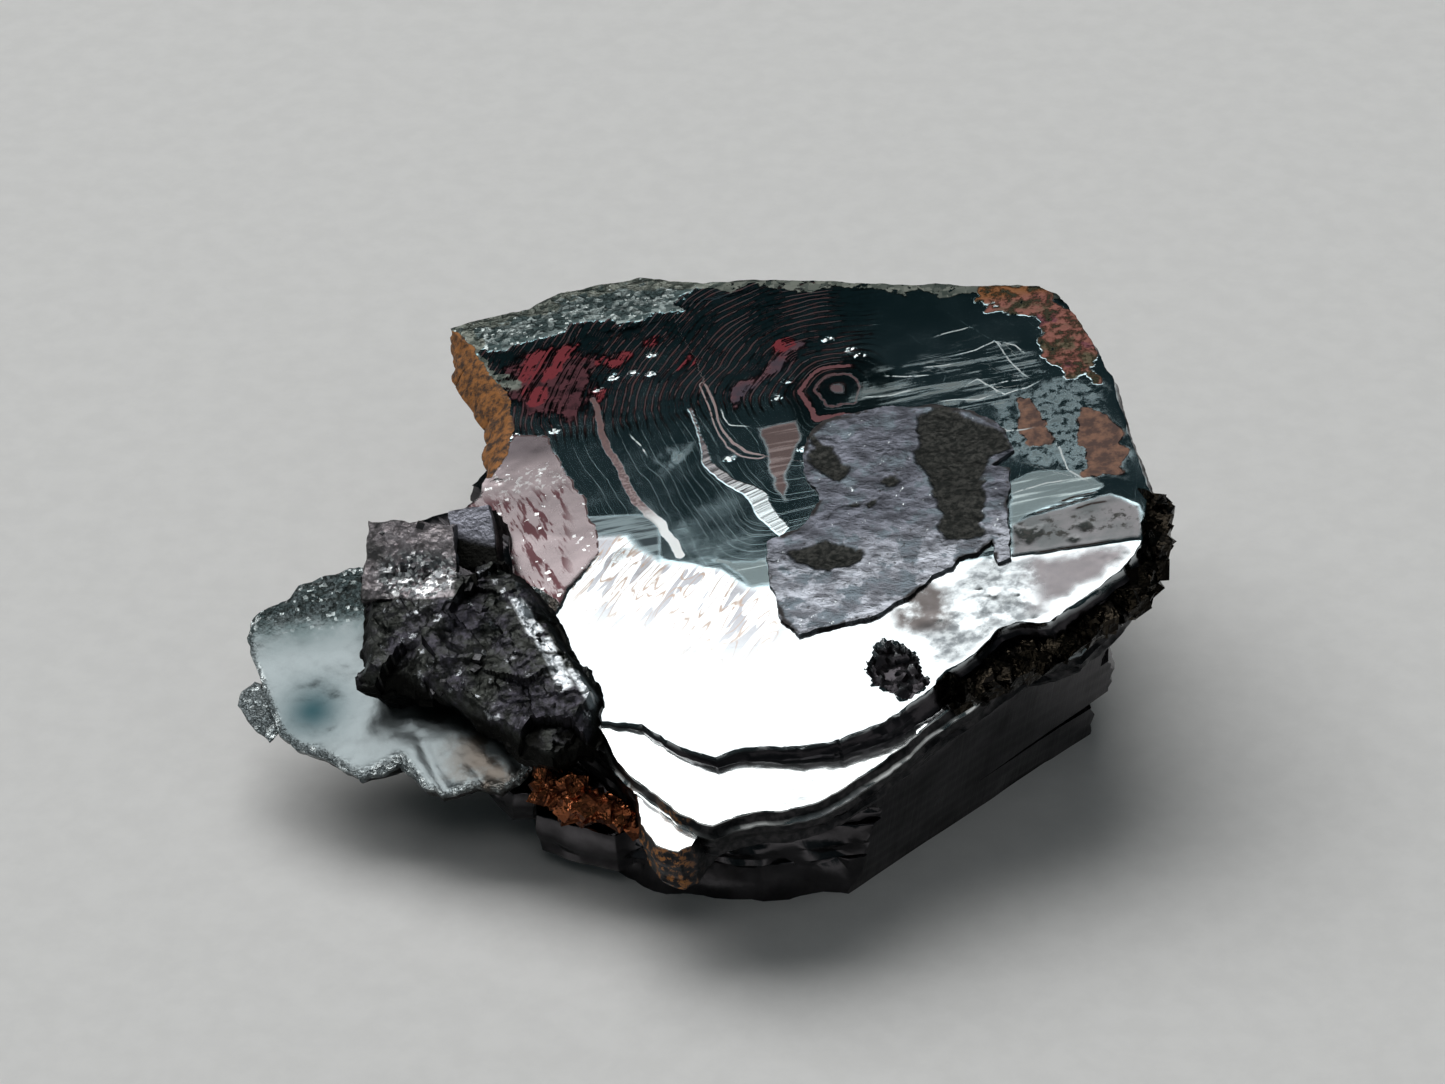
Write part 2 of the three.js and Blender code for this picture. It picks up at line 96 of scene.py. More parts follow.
LIP_OUTLINE = [
    (-3.5, 2.5), (-3, 1.1), (-2.4, 0.2), (-1.8, -0.5), (-1.2, -1.2), (-0.6, -1.7),
    (-0.2, -1.9), (0.5, -1.6), (2, -1.6), (2.9, -1.4), (3.7, -0.9), (4.7, -0.1), (6.3, 1.5),
    (7.9, 2.8), (9.3, 4), (10.9, 4.3), (12.3, 5.9), (13, 7.2), (13.3, 9.5), (12.7, 12.6),
    (12.8, 15.2), (11.9, 18.2), (10.6, 19.2), (8.8, 19.4), (5.2, 20.9), (2.6, 21.4),
    (-0.6, 22.4), (-3, 22.2), (-5, 22.5), (-6.5, 21.9), (-6.8, 20.6), (-6.2, 18.2),
    (-6.1, 15.8), (-6.7, 13.2), (-6.7, 10.4), (-6, 8.2), (-5, 5.6), (-4.2, 3.9)]
HEEL_OUTLINE = [
    (-2.9, 1.3), (-2.5, 0.2), (-2.3, -1.1), (-1.9, -2), (-1.3, -2.4), (-0.9, -2.2),
    (-0.4, -1.2), (1.5, -0.4), (4, 0.3), (6, 2), (8, 3.9), (10.3, 5.6), (11.8, 7.8),
    (12.1, 10.5), (11.6, 14.2), (10.8, 17.5), (8.5, 20.4), (5, 22.4), (1, 23.9), (-3.2, 23.2),
    (-6, 22), (-6.5, 18.8), (-6.3, 15), (-6.6, 10.8), (-5.7, 6), (-4.4, 3.2)]
KEEL_OUTLINE = [
    (-4.8, -8.8), (-2.4, -11.2), (1, -11.7), (5.2, -11.2), (12.1, -4.7), (11.4, 0),
    (9.6, 4.6), (2.6, 7.6), (-3.4, 7.9), (-7.6, 2.4), (-6.6, -4.6)]
# height of the top at the pivot, thickness, size, turn, forward, left
KEEL_PLATES = [(1.3, 3, 0.96, 1, 0, 0), (2.7, 1.5, 1.03, -2, 1, 2.5), (3.6, 1.3, 0.94, -3, 3, 3.5),
               (4.5, 1.2, 1.06, -5, 4.5, 5), (5.3, 1.6, 0.98, -7, 5.5, 6)]
# middle, radius, thickness, stretch, turn, forward, left
HEX_PLATES = [
    ((-3.4, 6.6, 3.1), 5, 1, 0.8, 12, -9, 6), ((4.8, 6, 4.5), 5, 1.1, 0.85, 25, -7, 12),
    ((3, 6.2, 1.8), 4.3, 0.9, 0.9, 40, -13, -4), ((7.4, 2.4, 2.8), 4.4, 1, 0.9, 5, -5, 14),
    ((-6, -2.2, 2.2), 4.4, 1.1, 0.95, 20, 6, -8), ((-6, 3, 2.4), 3.6, 0.9, 1.1, 50, -2, 10),
    ((-5.2, -7.4, 2.6), 3, 1.3, 0.9, 8, 14, -3), ((-3.4, -9, 1.7), 2.7, 1.5, 0.9, 34, 5, 4),
    ((-9.7, -3.1, 5.7), 1.5, 1.3, 0.9, 10, 12, 6), ((-8.4, -3, 6.2), 2, 1.2, 0.9, 38, 8, -12)]
WING_OUTLINE = [
    (-1.7, 2.1), (-1.6, 1.4), (-1.2, 0.2), (-0.9, -0.7), (-0.6, -1.6), (0, -2.2), (0.7, -2.5),
    (1.3, -3), (1.9, -3.5), (2.4, -3.3), (3.1, -3), (3.6, -3.7), (3.9, -4.2), (4.4, -4.6),
    (5, -4.5), (5.6, -4.4), (6.2, -4.7), (6.7, -4.4), (7.6, -3.4), (8.6, -1.4), (8.6, 1.6),
    (6.6, 3.6), (3.1, 4.3), (1.5, 4.5), (0.7, 4.3), (-0.1, 4), (-0.5, 3.5), (-1.3, 3.2),
    (-1.6, 2.8)]
WING_CHIP = [(-2, -0.1), (-1.7, -0.7), (-1, -1.6), (-0.4, -0.9), (-1, 0.4), (-1.5, 0.7),
             (-1.9, 0.4)]
BLOCK_OUTLINE = [
    (2.2, 1), (2.1, 0.3), (2.3, -0.2), (2.2, -1), (3.5, -1.2), (4.7, -1.9), (5.6, -2.7),
    (6.4, -3.3), (7.1, -4.2), (8, -4.7), (8.8, -4.4), (9.3, -4.1), (9.5, -3.4), (9.6, -2.5),
    (8.6, -0.5), (8, 1.2), (7.4, 2.4), (6.4, 3.2), (4.6, 3), (2.4, 2.4)]

# the growth hillock of the big face: its middle, the way each straight side of it faces, in
# degrees from u, and how fast that side grew
EYE = (4.26, 16.13)
HILLOCK_SIDES = [(199, 1.0), (155, 0.96), (130, 0.87), (110, 0.89), (82, 1.0), (35, 0.95),
                 (-10, 0.9), (-90, 0.78)]
# how far from the eye each large growth step is
TERRACE_EDGE = 8.75
GREAT_STEP = 7.5
BAND_STEP = 4.8
INNER_STEP = 3.8
EYE_RING = 1.12
# how wide the slopes of these steps are, on the big face and as the film smooths the first four
STEP_WIDTHS = (0.4, 0.5, 0.5, 0.4, 0.3)
FILM_STEP_WIDTHS = (0.9, 0.9, 0.9, 0.9)
# the broad frosted slope of the great step, the band with its cross-striations, and the thin pair
GREAT_SLOPE = [(-3.8, 17.6), (-3.69, 17.37), (-3.37, 15.56), (-2.82, 13.49), (-2.35, 11.96),
               (-1.59, 10.84), (-1.0, 9.1)]
BAND = [(-0.6, 16.35), (-0.31, 14.81), (-0.17, 13.57), (0.57, 12.2), (1.17, 11.35), (2.18, 9.27),
        (2.42, 9.67), (1.78, 11.44), (0.89, 12.36), (0.14, 13.49), (-0.31, 15.05), (-0.5, 16.35)]
THIN_PAIR = [(0.0, 17.4), (0.19, 16.65), (0.4, 15.36), (0.77, 14.18), (1.22, 13.71), (1.68, 13.48)]
# the two low parts of the big face that lean a little further forward: the front and the kite
FRONT_LINE = [(-9, 12.6), (-4.6, 10.9), (-3.72, 10.73), (-2.61, 10.55), (-2.2, 9.78), (-1.44, 8.93),
              (-0.6, 8.65), (0.34, 8.25), (1.14, 7.2), (2.2, 6.95), (9.3, 6.9), (13.1, 6.7), (15, 6.6)]
KITE = [(9.39, 8.14), (9.96, 8.47), (11.93, 8.91), (12.56, 9.08), (13.4, 8.2), (13.3, 6.64),
        (11.19, 6.71), (9.29, 6.74)]
LEFT_TERRACE = [(-7.3, 14.6), (-6.39, 16.55), (-5.19, 16.0), (-4.37, 13.77), (-3.57, 11.21),
                (-3.47, 10.36), (-3.79, 9.47), (-4.41, 8.43), (-4.85, 7.36), (-5.69, 8.0),
                (-6.9, 9.15), (-8.4, 12.4), (-7.7, 13.6)]
# where the big face has finishes of their own
BACK_CORNER = [(-9, 23), (-5, 24.4), (-1, 23.6), (0.6, 22.9), (-1.3, 21.7), (-3, 21.3),
               (-4.4, 21.6), (-5.9, 21), (-7.6, 20.6)]
HAMMERED = [(5.2, 5.9), (6.3, 6.5), (7.2, 6.1), (8.2, 7.0), (9.2, 6.6), (11.2, 6.7), (13.0, 6.6),
            (12.9, 5.8), (11.6, 4.9), (9.7, 3.7), (8.5, 3.5), (7.6, 2.4), (6.4, 2.3), (6.0, 3.5),
            (5.2, 4.2)]
SILVER_AREAS = [[(9.47, 10.25), (10.12, 10.52), (11.5, 10.4), (12.51, 9.3), (11.94, 9.01),
                 (9.97, 8.53), (9.39, 8.14), (9.37, 8.78)],
                [(0.35, 8.52), (1.89, 8.43), (2.2, 7.2), (1.26, 7.07), (0.81, 7.7)],
                [(1.6, 14.8), (2.97, 14.97), (3.08, 13.74), (2.6, 12.2), (2.5, 10.6), (2.1, 11.6),
                 (1.83, 13.08)]]
HAZE_AREAS = [[(8.6, 11.4), (8.9, 13.4), (9.6, 14.6), (11.4, 15.2), (13, 14.4), (13.5, 10.4),
               (13.2, 9), (11.8, 9.6), (10, 10.9)],
              [(-2.6, 13.2), (-1.6, 14.4), (-0.3, 14.8), (-0.4, 13.2), (-1.7, 12.8)]]
STREAKED_AREAS = [[(4.6, 15.6), (5.6, 17.2), (8.6, 17.6), (10.6, 17.4), (11.4, 15.2), (9.4, 13.6),
                   (7.4, 14.3), (5.4, 14.7)]]
RED_AREAS = [[(-6.38, 20.71), (-5.4, 20.98), (-3.94, 20.87), (-4.09, 19.62), (-5.37, 19.05),
              (-6.19, 19.25)],
             [(-3.6, 18.98), (-3.44, 19.71), (-2.48, 19.72), (-2.56, 18.97)],
             [(-2.31, 19.81), (-1.34, 20.85), (-1.1, 20.53), (-1.99, 19.85)],
             [(-1.2, 18.25), (-0.39, 18.93), (-0.24, 18.64), (-0.88, 18.04)],
             [(-3.91, 16.8), (-3.76, 18.01), (-3.28, 17.77), (-3.35, 16.91)],
             [(-6.15, 17.61), (-6.18, 18.74), (-5.53, 18.46), (-5.59, 17.47)],
             [(0.39, 17.85), (1.05, 19.08), (1.37, 19.25), (1.03, 18.07)],
             [(1.7, 18.2), (2.3, 19.2), (3.1, 19.3), (2.6, 18.2)],
             [(5.2, 18.6), (6.3, 19.5), (6.5, 19.3), (5.5, 18.5)]]
PINK_AREAS = [[(0.37, 16.73), (1.34, 17.99), (2.97, 19.35), (3.92, 19.11), (2.91, 17.59),
               (1.78, 16.38), (1.12, 15.07), (0.51, 15.71)],
              [(5.8, 16.9), (6.2, 18.2), (7.2, 18.9), (7.4, 18.4), (6.6, 17.4)],
              [(-7.51, 20.23), (-6.39, 21.24), (-3.94, 21.13), (-3.3, 19.0), (-3.6, 17.2),
               (-4.38, 16.18), (-5.34, 16.41), (-6.54, 16.96), (-7.15, 18.86)],
              [(1.72, 14.8), (2.97, 14.97), (3.08, 13.74), (2.42, 12.46), (1.83, 13.08)]]
ORANGE_AREA = [(8.75, 19.52), (9.24, 20.6), (11.5, 20.3), (12.2, 18.6), (12.6, 17.2), (12.9, 15.6),
               (12.7, 14.4), (11.61, 15.04), (10.98, 16.12), (10.82, 17.8), (9.87, 18.75)]
BROWN_AREAS = [[(9.97, 14.2), (10.39, 14.1), (10.87, 12.97), (10.85, 11.76), (10.22, 11.81),
                (10.01, 12.74)],
               [(11.78, 13.75), (12.33, 13.5), (13.06, 12.21), (13.14, 10.87), (13.0, 9.4),
                (12.55, 9.72), (11.89, 10.09), (11.71, 11.22), (11.55, 12.58)]]
RUST_STRIP = [(-9.3, 23), (-8.5, 22.5), (-7.8, 21.6), (-7.1, 19.8), (-6.5, 18.3), (-6.3, 16.8),
              (-6.6, 15.4), (-7.1, 14.4), (-8.6, 14.6), (-9.6, 18)]
# thin one-sided scarps: the path, and how high their slope is
SCARPS = [([(5.6, 16.5), (6.6, 16.2), (7.5, 16.1)], 0.002),
          ([(4.9, 15.6), (6, 15.4), (7, 15.5)], 0.0016),
          ([(7.6, 16.9), (8.8, 17), (9.5, 17.3), (9.9, 16.2), (10.4, 15.2), (10.9, 15.5)], 0.0024),
          ([(7, 16.6), (8.2, 16.5)], 0.0012),
          ([(8.2, 15.1), (8.8, 15.5), (9.6, 14.5), (10.4, 14.6), (11.1, 15.1)], 0.0028),
          ([(9, 15.1), (10.3, 15.1)], 0.0012),
          ([(7.4, 14.6), (8.7, 14.5), (9.3, 14.7)], 0.0016),
          ([(8.8, 13.5), (9.6, 12.7), (10.5, 12.7)], 0.002),
          ([(9.5, 17.3), (10.1, 17), (10.5, 16.4)], 0.0012),
          ([(7.3, 17.9), (8.4, 18.2), (9.2, 18.4)], 0.0008),
          ([(9.4, 9.5), (10.6, 9.9), (11.6, 9.9)], 0.0012),
          ([(11, 12), (11.4, 10.4), (12, 9.5)], 0.0024),
          ([(-2.6, 15.7), (-2.2, 14.9), (-1.9, 14.1)], 0.0008),
          ([(0.4, 16.2), (0.8, 15.2), (1.5, 14.8)], 0.0012)]
# small bright specks, and the dark lines and sunken windows of the kite
SPECKS = [(-1.8, 19.5), (-2.4, 18.7), (-1.8, 18.5), (-3.1, 18.6), (-3.6, 18.1), (-5, 16.3),
          (4.1, 18.8), (5.1, 17.7), (4.8, 18.1), (2.3, 16.2), (2.7, 17), (0.7, 13.5), (3.1, 13.4),
          (3.2, 12.8), (-6.4, 16.4), (-7, 14.9), (-6.9, 14.2), (9.3, 12.5), (6.9, 14.1)]
KITE_LINES = [[(9.55, 8.42), (10.81, 8.69), (11.93, 8.91), (12.56, 9.03)],
              [(10.61, 8.8), (11.39, 9.04), (12.5, 9.13)],
              [(9.29, 6.79), (10.38, 6.74), (11.74, 6.75), (13.09, 6.73)],
              [(11.06, 8.38), (11.9, 8.6), (12.72, 8.61)]]
KITE_HOLES = [[(11.14, 7.73), (11.7, 7.91), (11.97, 7.53), (11.59, 7.37)],
              [(9.39, 8.1), (9.92, 7.91), (10.49, 8.09), (10.3, 7.5), (9.86, 7.09), (9.55, 7.47)],
              [(11.02, 7.13), (11.31, 7.27), (11.47, 7.07), (11.21, 6.92)]]

# the later film and its sunken windows, and the granular pit at the front of the big face
FILM_OUTLINE = [
    (1.95, 6.5), (2.13, 5.37), (2.66, 4.61), (3.47, 4.66), (5.12, 5.0), (6.24, 5.65), (6.82, 6.34),
    (7.45, 6.6), (7.68, 6.96), (8.23, 7.04), (8.78, 7.53), (8.9, 6.5), (9.22, 6.6), (9.36, 9.08),
    (9.53, 10.76), (9.06, 11.09), (9.73, 11.59), (9.46, 12.76), (8.53, 13.76), (7.57, 14.34),
    (6.72, 14.55), (6.02, 14.73), (5.01, 14.64), (3.85, 14.48), (3.25, 13.84), (3.1, 12.2),
    (3.5, 10.6), (3.1, 9.6), (1.9, 9), (1.8, 7.1)]
FILM_PITS = [[(6.7, 14.11), (7.42, 14.27), (8.39, 13.69), (9.44, 12.54), (9.66, 11.71),
              (8.95, 11.56), (8.69, 10.75), (8.72, 9.24), (8.56, 7.8), (8.0, 7.72), (7.32, 7.88),
              (7.26, 9.16), (7.04, 10.07), (6.71, 11.66), (6.64, 13.0)],
             [(3.3, 13.9), (4.1, 13.3), (4.5, 12), (4.3, 11.2), (3.8, 11.6), (3.3, 12.6)],
             [(2.5, 8.4), (3.6, 8.6), (4.9, 7.9), (4.8, 7.4), (3.6, 7.2), (2.6, 7.8)],
             [(5.2, 11.2), (5.9, 11.5), (6.3, 10.9), (5.7, 10.5)],
             [(4.4, 10.2), (5.4, 10.3), (5.1, 9.9)]]
FRONT_PIT = [(4.9, 3.7), (4.75, 2.75), (4.95, 1.75), (5.6, 1.2), (6.5, 1.7), (6.35, 2.4), (6.3, 2.9),
             (6.1, 3.6), (5.2, 4.0)]

# on the wing's plane: its dimple, the block's bowl, and the bright facets by the block's right rim
DIMPLE = (0.42, -0.82)
BOWL = (5.6, 0.1)
GLINTS = [[(6.9, 1.2), (7.3, 1.1), (7.9, 0), (7.5, -0.3)],
          [(7.6, -0.2), (8.1, -0.3), (8.3, -1), (7.8, -1)],
          [(7.9, -1.1), (8.4, -1.2), (8.8, -2.4), (8.4, -2.6)],
          [(8.6, -1.7), (8.9, -1.7), (9.6, -2.7), (9.2, -3)]]
# the blocky crystal on the block, and the striated facet behind it
CUBE = {"at": (-9.6, -4.5, 7.5), "forward": 44, "left": -2}
STRIATED = {"at": (-7.75, -3.0, 7.3), "forward": 38, "left": 14}


# ------------------------------------------------------------------ settings

def a_length(name, description, millimetres, least=0):
    return bpy.props.FloatProperty(name=name, description=description, default=millimetres * MM,
                                   min=least * MM, unit="LENGTH", precision=6)


def an_angle(name, description, degrees):
    return bpy.props.FloatProperty(name=name, description=description,
                                   default=math.radians(degrees), subtype="ANGLE")


def a_colour(name, description, *channels):
    return bpy.props.FloatVectorProperty(name=name, description=description, default=channels,
                                         size=3, min=0, max=1, subtype="COLOR")


class RoseSizes(bpy.types.PropertyGroup):
    growth_step: a_length("Growth step", "Height of one large growth step of the big face", 0.001)
    front_lean: an_angle("Front lean", "How much further the front of the big face leans forward", 1)
    kite_lean: an_angle("Kite lean", "How much further the kite-shaped facet leans forward", 0.5)
    film: a_length("Film", "Thickness of the later film on the big face", 0.1)
    pit_depth: a_length("Pit depth", "Depth of the granular pit at the front", 0.28)
    face_mesh: a_length("Face mesh", "Distance between the points of the big face", 0.085, 0.05)
    plate_mesh: a_length("Plate mesh", "Distance between the points of the lower plates", 0.22, 0.05)
    grain: a_length("Grain", "Size of the largest small crystals of the granular block", 0.62, 0.1)
    seed: bpy.props.IntProperty(
        name="Seed", description="Chooses where the small crystals grow", default=20, min=0)


class RoseColours(bpy.types.PropertyGroup):
    steel: a_colour("Steel", "Mirror-bright hematite", 0.40, 0.43, 0.44)
    dark: a_colour("Dark", "Sides and broken hematite", 0.07, 0.066, 0.07)
    film: a_colour("Film", "The dull later film", 0.10, 0.105, 0.125)
    wing: a_colour("Wing", "The silvery plate", 0.175, 0.20, 0.205)
    red: a_colour("Red", "Red streaks under the surface", 0.12, 0.02, 0.025)
    pink: a_colour("Pink", "Pink tarnish between the growth lines", 0.06, 0.022, 0.027)
    terrace: a_colour("Terrace", "The pale low part on the left of the big face", 0.23, 0.195, 0.20)
    rust: a_colour("Rust", "Ochre crust", 0.36, 0.14, 0.03)
    brown: a_colour("Brown", "Thin brown tarnish", 0.15, 0.085, 0.06)
    floor: a_colour("Floor", "The floor", 0.74, 0.735, 0.72)


def settings():
    """(sizes, colours) that the panel shows."""
    return bpy.context.scene.rose_sizes, bpy.context.scene.rose_colours


def in_mm(length):
    return length / MM


# ------------------------------------------------------------------ random relief

def hashed(cell, seed):
    """A repeatable number from 0 to 1 for each whole-numbered cell."""
    n = (cell @ np.array([374761393, 668265263, 1440662683]) + seed * 974634777) & 0xFFFFFFFF
    n = ((n ^ (n >> 13)) * 1274126177) & 0xFFFFFFFF
    return ((n ^ (n >> 16)) & 0xFFFF) / 0xFFFF


def spots(u, v, w=0.0):
    return np.stack(np.broadcast_arrays(u, v, w), axis=-1).astype(float)


def noise(points, size, seed=0):
    """Smooth random relief from -1 to 1, with lumps about size across."""
    scaled = points / size
    cell = np.floor(scaled).astype(np.int64)
    part = scaled - cell
    part = part * part * (3 - 2 * part)
    total = 0
    for corner in product((0, 1), repeat=3):
        weight = np.prod(np.where(corner, part, 1 - part), axis=-1)
        total = total + weight * hashed(cell + corner, seed)
    return 2 * total - 1


def rugged(points, size, seed=0, octaves=4, gain=0.5):
    """Noise with ever finer noise on it."""
    return sum(gain ** i * noise(points, size / 2 ** i, seed + i) for i in range(octaves))


def faceted(points, size, seed=0, lean=0.5):
    """Relief of crowded small crystals: cells with flat tops, each leaning its own way.

    Gives the relief, for crystals about size across, and a random number for each crystal.
    """
    scaled = points / size
    cell = np.floor(scaled).astype(np.int64)
    best = np.full(len(points), np.inf)
    relief = np.zeros(len(points))
    number = np.zeros(len(points))
    flat = np.ptp(points[:, 2]) == 0
    for step in product((-1, 0, 1), (-1, 0, 1), (0,) if flat else (-1, 0, 1)):
        home = cell + step
        rolls = [hashed(home, seed + i) for i in range(7)]
        centre = home + np.stack(rolls[:3], axis=-1)
        away = scaled - centre
        if flat:
            away[:, 2] = 0
        distance = np.linalg.norm(away, axis=1)
        tilt = sum((rolls[3 + i] - 0.5) * away[:, i] for i in range(3))
        near = distance < best
        best = np.where(near, distance, best)
        relief = np.where(near, 2 * lean * tilt + (rolls[6] - 0.5) * 0.6, relief)
        number = np.where(near, rolls[6], number)
    return relief * size, number


def smooth(value, low=0.0, high=1.0):
    """0 below low, 1 above high and a soft slope between."""
    part = np.clip((value - low) / (high - low), 0, 1)
    return part * part * (3 - 2 * part)


def terraces(value, riser=0.3):
    """A sawtooth from 0 to 1: a steep riser, then a long gentle slope back."""
    part = value - np.floor(value)
    return smooth(part / riser) - part


# ------------------------------------------------------------------ outlines

def inside(u, v, outline):
    """How far each point is inside a closed outline, negative outside it."""
    corners = np.asarray(outline, float)
    nearest = np.full(np.shape(u), np.inf)
    within = np.zeros(np.shape(u), bool)
    for (au, av), (bu, bv) in zip(corners, np.roll(corners, -1, axis=0)):
        du = bu - au
        dv = bv - av
        part = np.clip(((u - au) * du + (v - av) * dv) / (du * du + dv * dv), 0, 1)
        nearest = np.minimum(nearest, np.hypot(u - au - part * du, v - av - part * dv))
        if dv != 0:
            within ^= ((av > v) != (bv > v)) & (u < au + (v - av) * du / dv)
    return np.where(within, nearest, -nearest)


def beside(u, v, path):
    """(distance to the left of an open path, how near its ends: 0 at an end, 1 well inside)."""
    nearest = np.full(np.shape(u), np.inf)
    signed = np.zeros(np.shape(u))
    reach = np.zeros(np.shape(u))
    points = np.asarray(path, float)
    lengths = np.hypot(*np.diff(points, axis=0).T)
    start = 0.0
    for (au, av), (bu, bv), length in zip(points, points[1:], lengths):
        along = np.array([bu - au, bv - av]) / length
        far = np.clip((u - au) * along[0] + (v - av) * along[1], 0, length)
        gap_u = u - au - far * along[0]
        gap_v = v - av - far * along[1]
        gap = np.hypot(gap_u, gap_v)
        side = np.where(along[0] * gap_v - along[1] * gap_u >= 0, 1, -1)
        closer = gap < nearest
        nearest = np.where(closer, gap, nearest)
        signed = np.where(closer, gap * side, signed)
        reach = np.where(closer, start + far, reach)
        start += length
    ends = smooth(np.minimum(reach, start - reach) / (0.25 * start))
    return signed, ends


def scarp(u, v, path, height, width):
    """A thin scarp: a sharp rise at the path that slopes away again on its left."""
    gap, ends = beside(u, v, path)
    return height * ends * smooth(gap / 0.07 + 0.5) * np.exp(-np.maximum(gap, 0) / width)


def rectangle(half_u, half_v):
    return [(-half_u, -half_v), (half_u, -half_v), (half_u, half_v), (-half_u, half_v)]


def outward(edge):
    """The outward direction at each point of a counterclockwise edge."""
    along = np.roll(edge, -2, axis=0) - np.roll(edge, 2, axis=0)
    along /= np.linalg.norm(along, axis=1)[:, None]
    return np.column_stack([along[:, 1], -along[:, 0]])


def ragged(outline, step, size, seed):
    """An outline with a point about every step, pushed in and out by up to about size."""
    corners = np.asarray(outline, float)
    points = []
    for start, end in zip(corners, np.roll(corners, -1, axis=0)):
        count = max(1, round(np.hypot(*(end - start)) / step))
        points.extend(start + (end - start) * i / count for i in range(count))
    edge = np.array(points)
    chips = rugged(spots(edge[:, 0], edge[:, 1]), 1.1, seed=seed, octaves=5, gain=0.62)
    return edge + outward(edge) * (size * chips)[:, None]


def lattice(edge, spacing):
    """Points of a three-way grid inside an edge, clear of it by at least half the spacing."""
    low = edge.min(axis=0)
    high = edge.max(axis=0)
    rows = np.arange(low[1], high[1], spacing * math.sqrt(0.75))
    columns = np.arange(low[0], high[0], spacing)
    v, u = np.meshgrid(rows, columns, indexing="ij")
    u = u + (np.arange(len(rows)) % 2)[:, None] * spacing / 2
    u = u.ravel()
    v = v.ravel()
    keep = inside(u, v, edge) > 0.55 * spacing
    return np.column_stack([u[keep], v[keep]])


def triangulated(edge, inner):
    """Counterclockwise triangles over an edge's points and then the inner ones."""
    points = [Vector(point) for point in np.vstack([edge, inner])]
    found = delaunay_2d_cdt(points, [], [list(range(len(edge)))], 1, 1e-7, False)
    if len(found[0]) != len(points):
        raise RuntimeError("an outline crosses itself")
    faces = np.array(found[2])
    # the notches of the edge are filled too: their triangles have all three corners on the edge
    in_notch = (faces < len(edge)).all(axis=1)
    middles = edge[faces[in_notch]].mean(axis=1)
    keep = np.ones(len(faces), bool)
    keep[in_notch] = inside(middles[:, 0], middles[:, 1], edge) > 0
    return faces[keep]


# ------------------------------------------------------------------ closed plates

def plane(at, forward=0.0, left=0.0):
    """The 4x4 of a crystal's plane: tipped forward and to the left, in degrees."""
    tip = Matrix.Rotation(math.radians(-left), 4, "Y")
    tip = tip @ Matrix.Rotation(math.radians(forward), 4, "X")
    return np.array(Matrix.Translation(at) @ tip)


FACE_PLANE = plane(**FACE)


def below_face(under, ahead, forward, left):
    """The plane of a lower plate, which starts under and ahead of the big face's."""
    at = FACE_PLANE[:3, 3] - ahead * FACE_PLANE[:3, 1] - under * FACE_PLANE[:3, 2]
    return plane(tuple(at), forward, left)


LIP_PLANE = below_face(**LIP)
HEEL_PLANE = below_face(**HEEL)
WING_PLANE = plane(**WING)


def in_scene(points, matrix):
    """Points of a plane, in metres round the middle of the base."""
    placed = points @ matrix[:3, :3].T + matrix[:3, 3]
    return (placed - np.array([*MIDDLE, 0])) * MM


def in_plane(points, matrix):
    """Points of the scene, in a plane's millimetres."""
    return (points / MM + np.array([*MIDDLE, 0]) - matrix[:3, 3]) @ matrix[:3, :3]


def plate(outline, matrix, relief, rings, spacing, chips=0.05, sway=0.06, seed=0, swell=None):
    """(points, triangles) of a closed plate.

    relief(u, v) is the height of its top. rings go down its side, each (depth, how far it stands
    out, how far it is shrunk towards the middle), and the last one is its underside. swell(u, v)
    is how much further than that the side bellies out halfway down.
    """
    edge = ragged(outline, 1.25 * spacing, chips, seed)
    inner = lattice(edge, spacing)
    count = len(edge)
    flat = np.vstack([edge, inner])
    height = relief(flat[:, 0], flat[:, 1])
    points = [np.column_stack([flat, height])]
    faces = [triangulated(edge, inner)]
    out = outward(edge)
    middle = edge.mean(axis=0)
    deepest = rings[-1][0]
    upper = np.arange(count)
    start = len(flat)
    for depth, stands_out, shrink in rings:
        layers = spots(edge[:, 0] / 1.4, edge[:, 1] / 1.4, depth / 0.22)
        push = stands_out + sway * rugged(layers, 1.0, seed=seed + 7, octaves=3, gain=0.6)
        if swell:
            push = push + swell(edge[:, 0], edge[:, 1]) * math.sin(math.pi * min(1, depth / deepest))
        ring = middle + (edge + out * push[:, None] - middle) * shrink
        level = height[:count] * (1 - depth / deepest) - depth
        points.append(np.column_stack([ring, level]))
        lower = start + np.arange(count)
        after = np.roll(upper, -1)
        below = np.roll(lower, -1)
        faces.append(np.column_stack([upper, lower, below]))
        faces.append(np.column_stack([upper, below, after]))
        upper = lower
        start += count
    faces.append(triangulated(ring, np.empty((0, 2)))[:, ::-1] + start - count)
    return in_scene(np.vstack(points), matrix), np.vstack(faces)


def side_rings(thickness, bevel=0.1, count=10, shrink=1.0):
    """Rings of a side that swells out a little and has small ledges."""
    rings = [(0.02, 0.012, 1.0), (0.06, 0.02, 1.0)]
    for i in range(1, count + 1):
        part = i / count
        ledge = 0.05 if i % 3 == 0 else 0.0
        swell = bevel * math.sin(math.pi * min(1, 1.25 * part))
        rings.append((0.06 + part * (thickness - 0.06), swell + ledge, 1 - (1 - shrink) * part ** 3))
    return rings


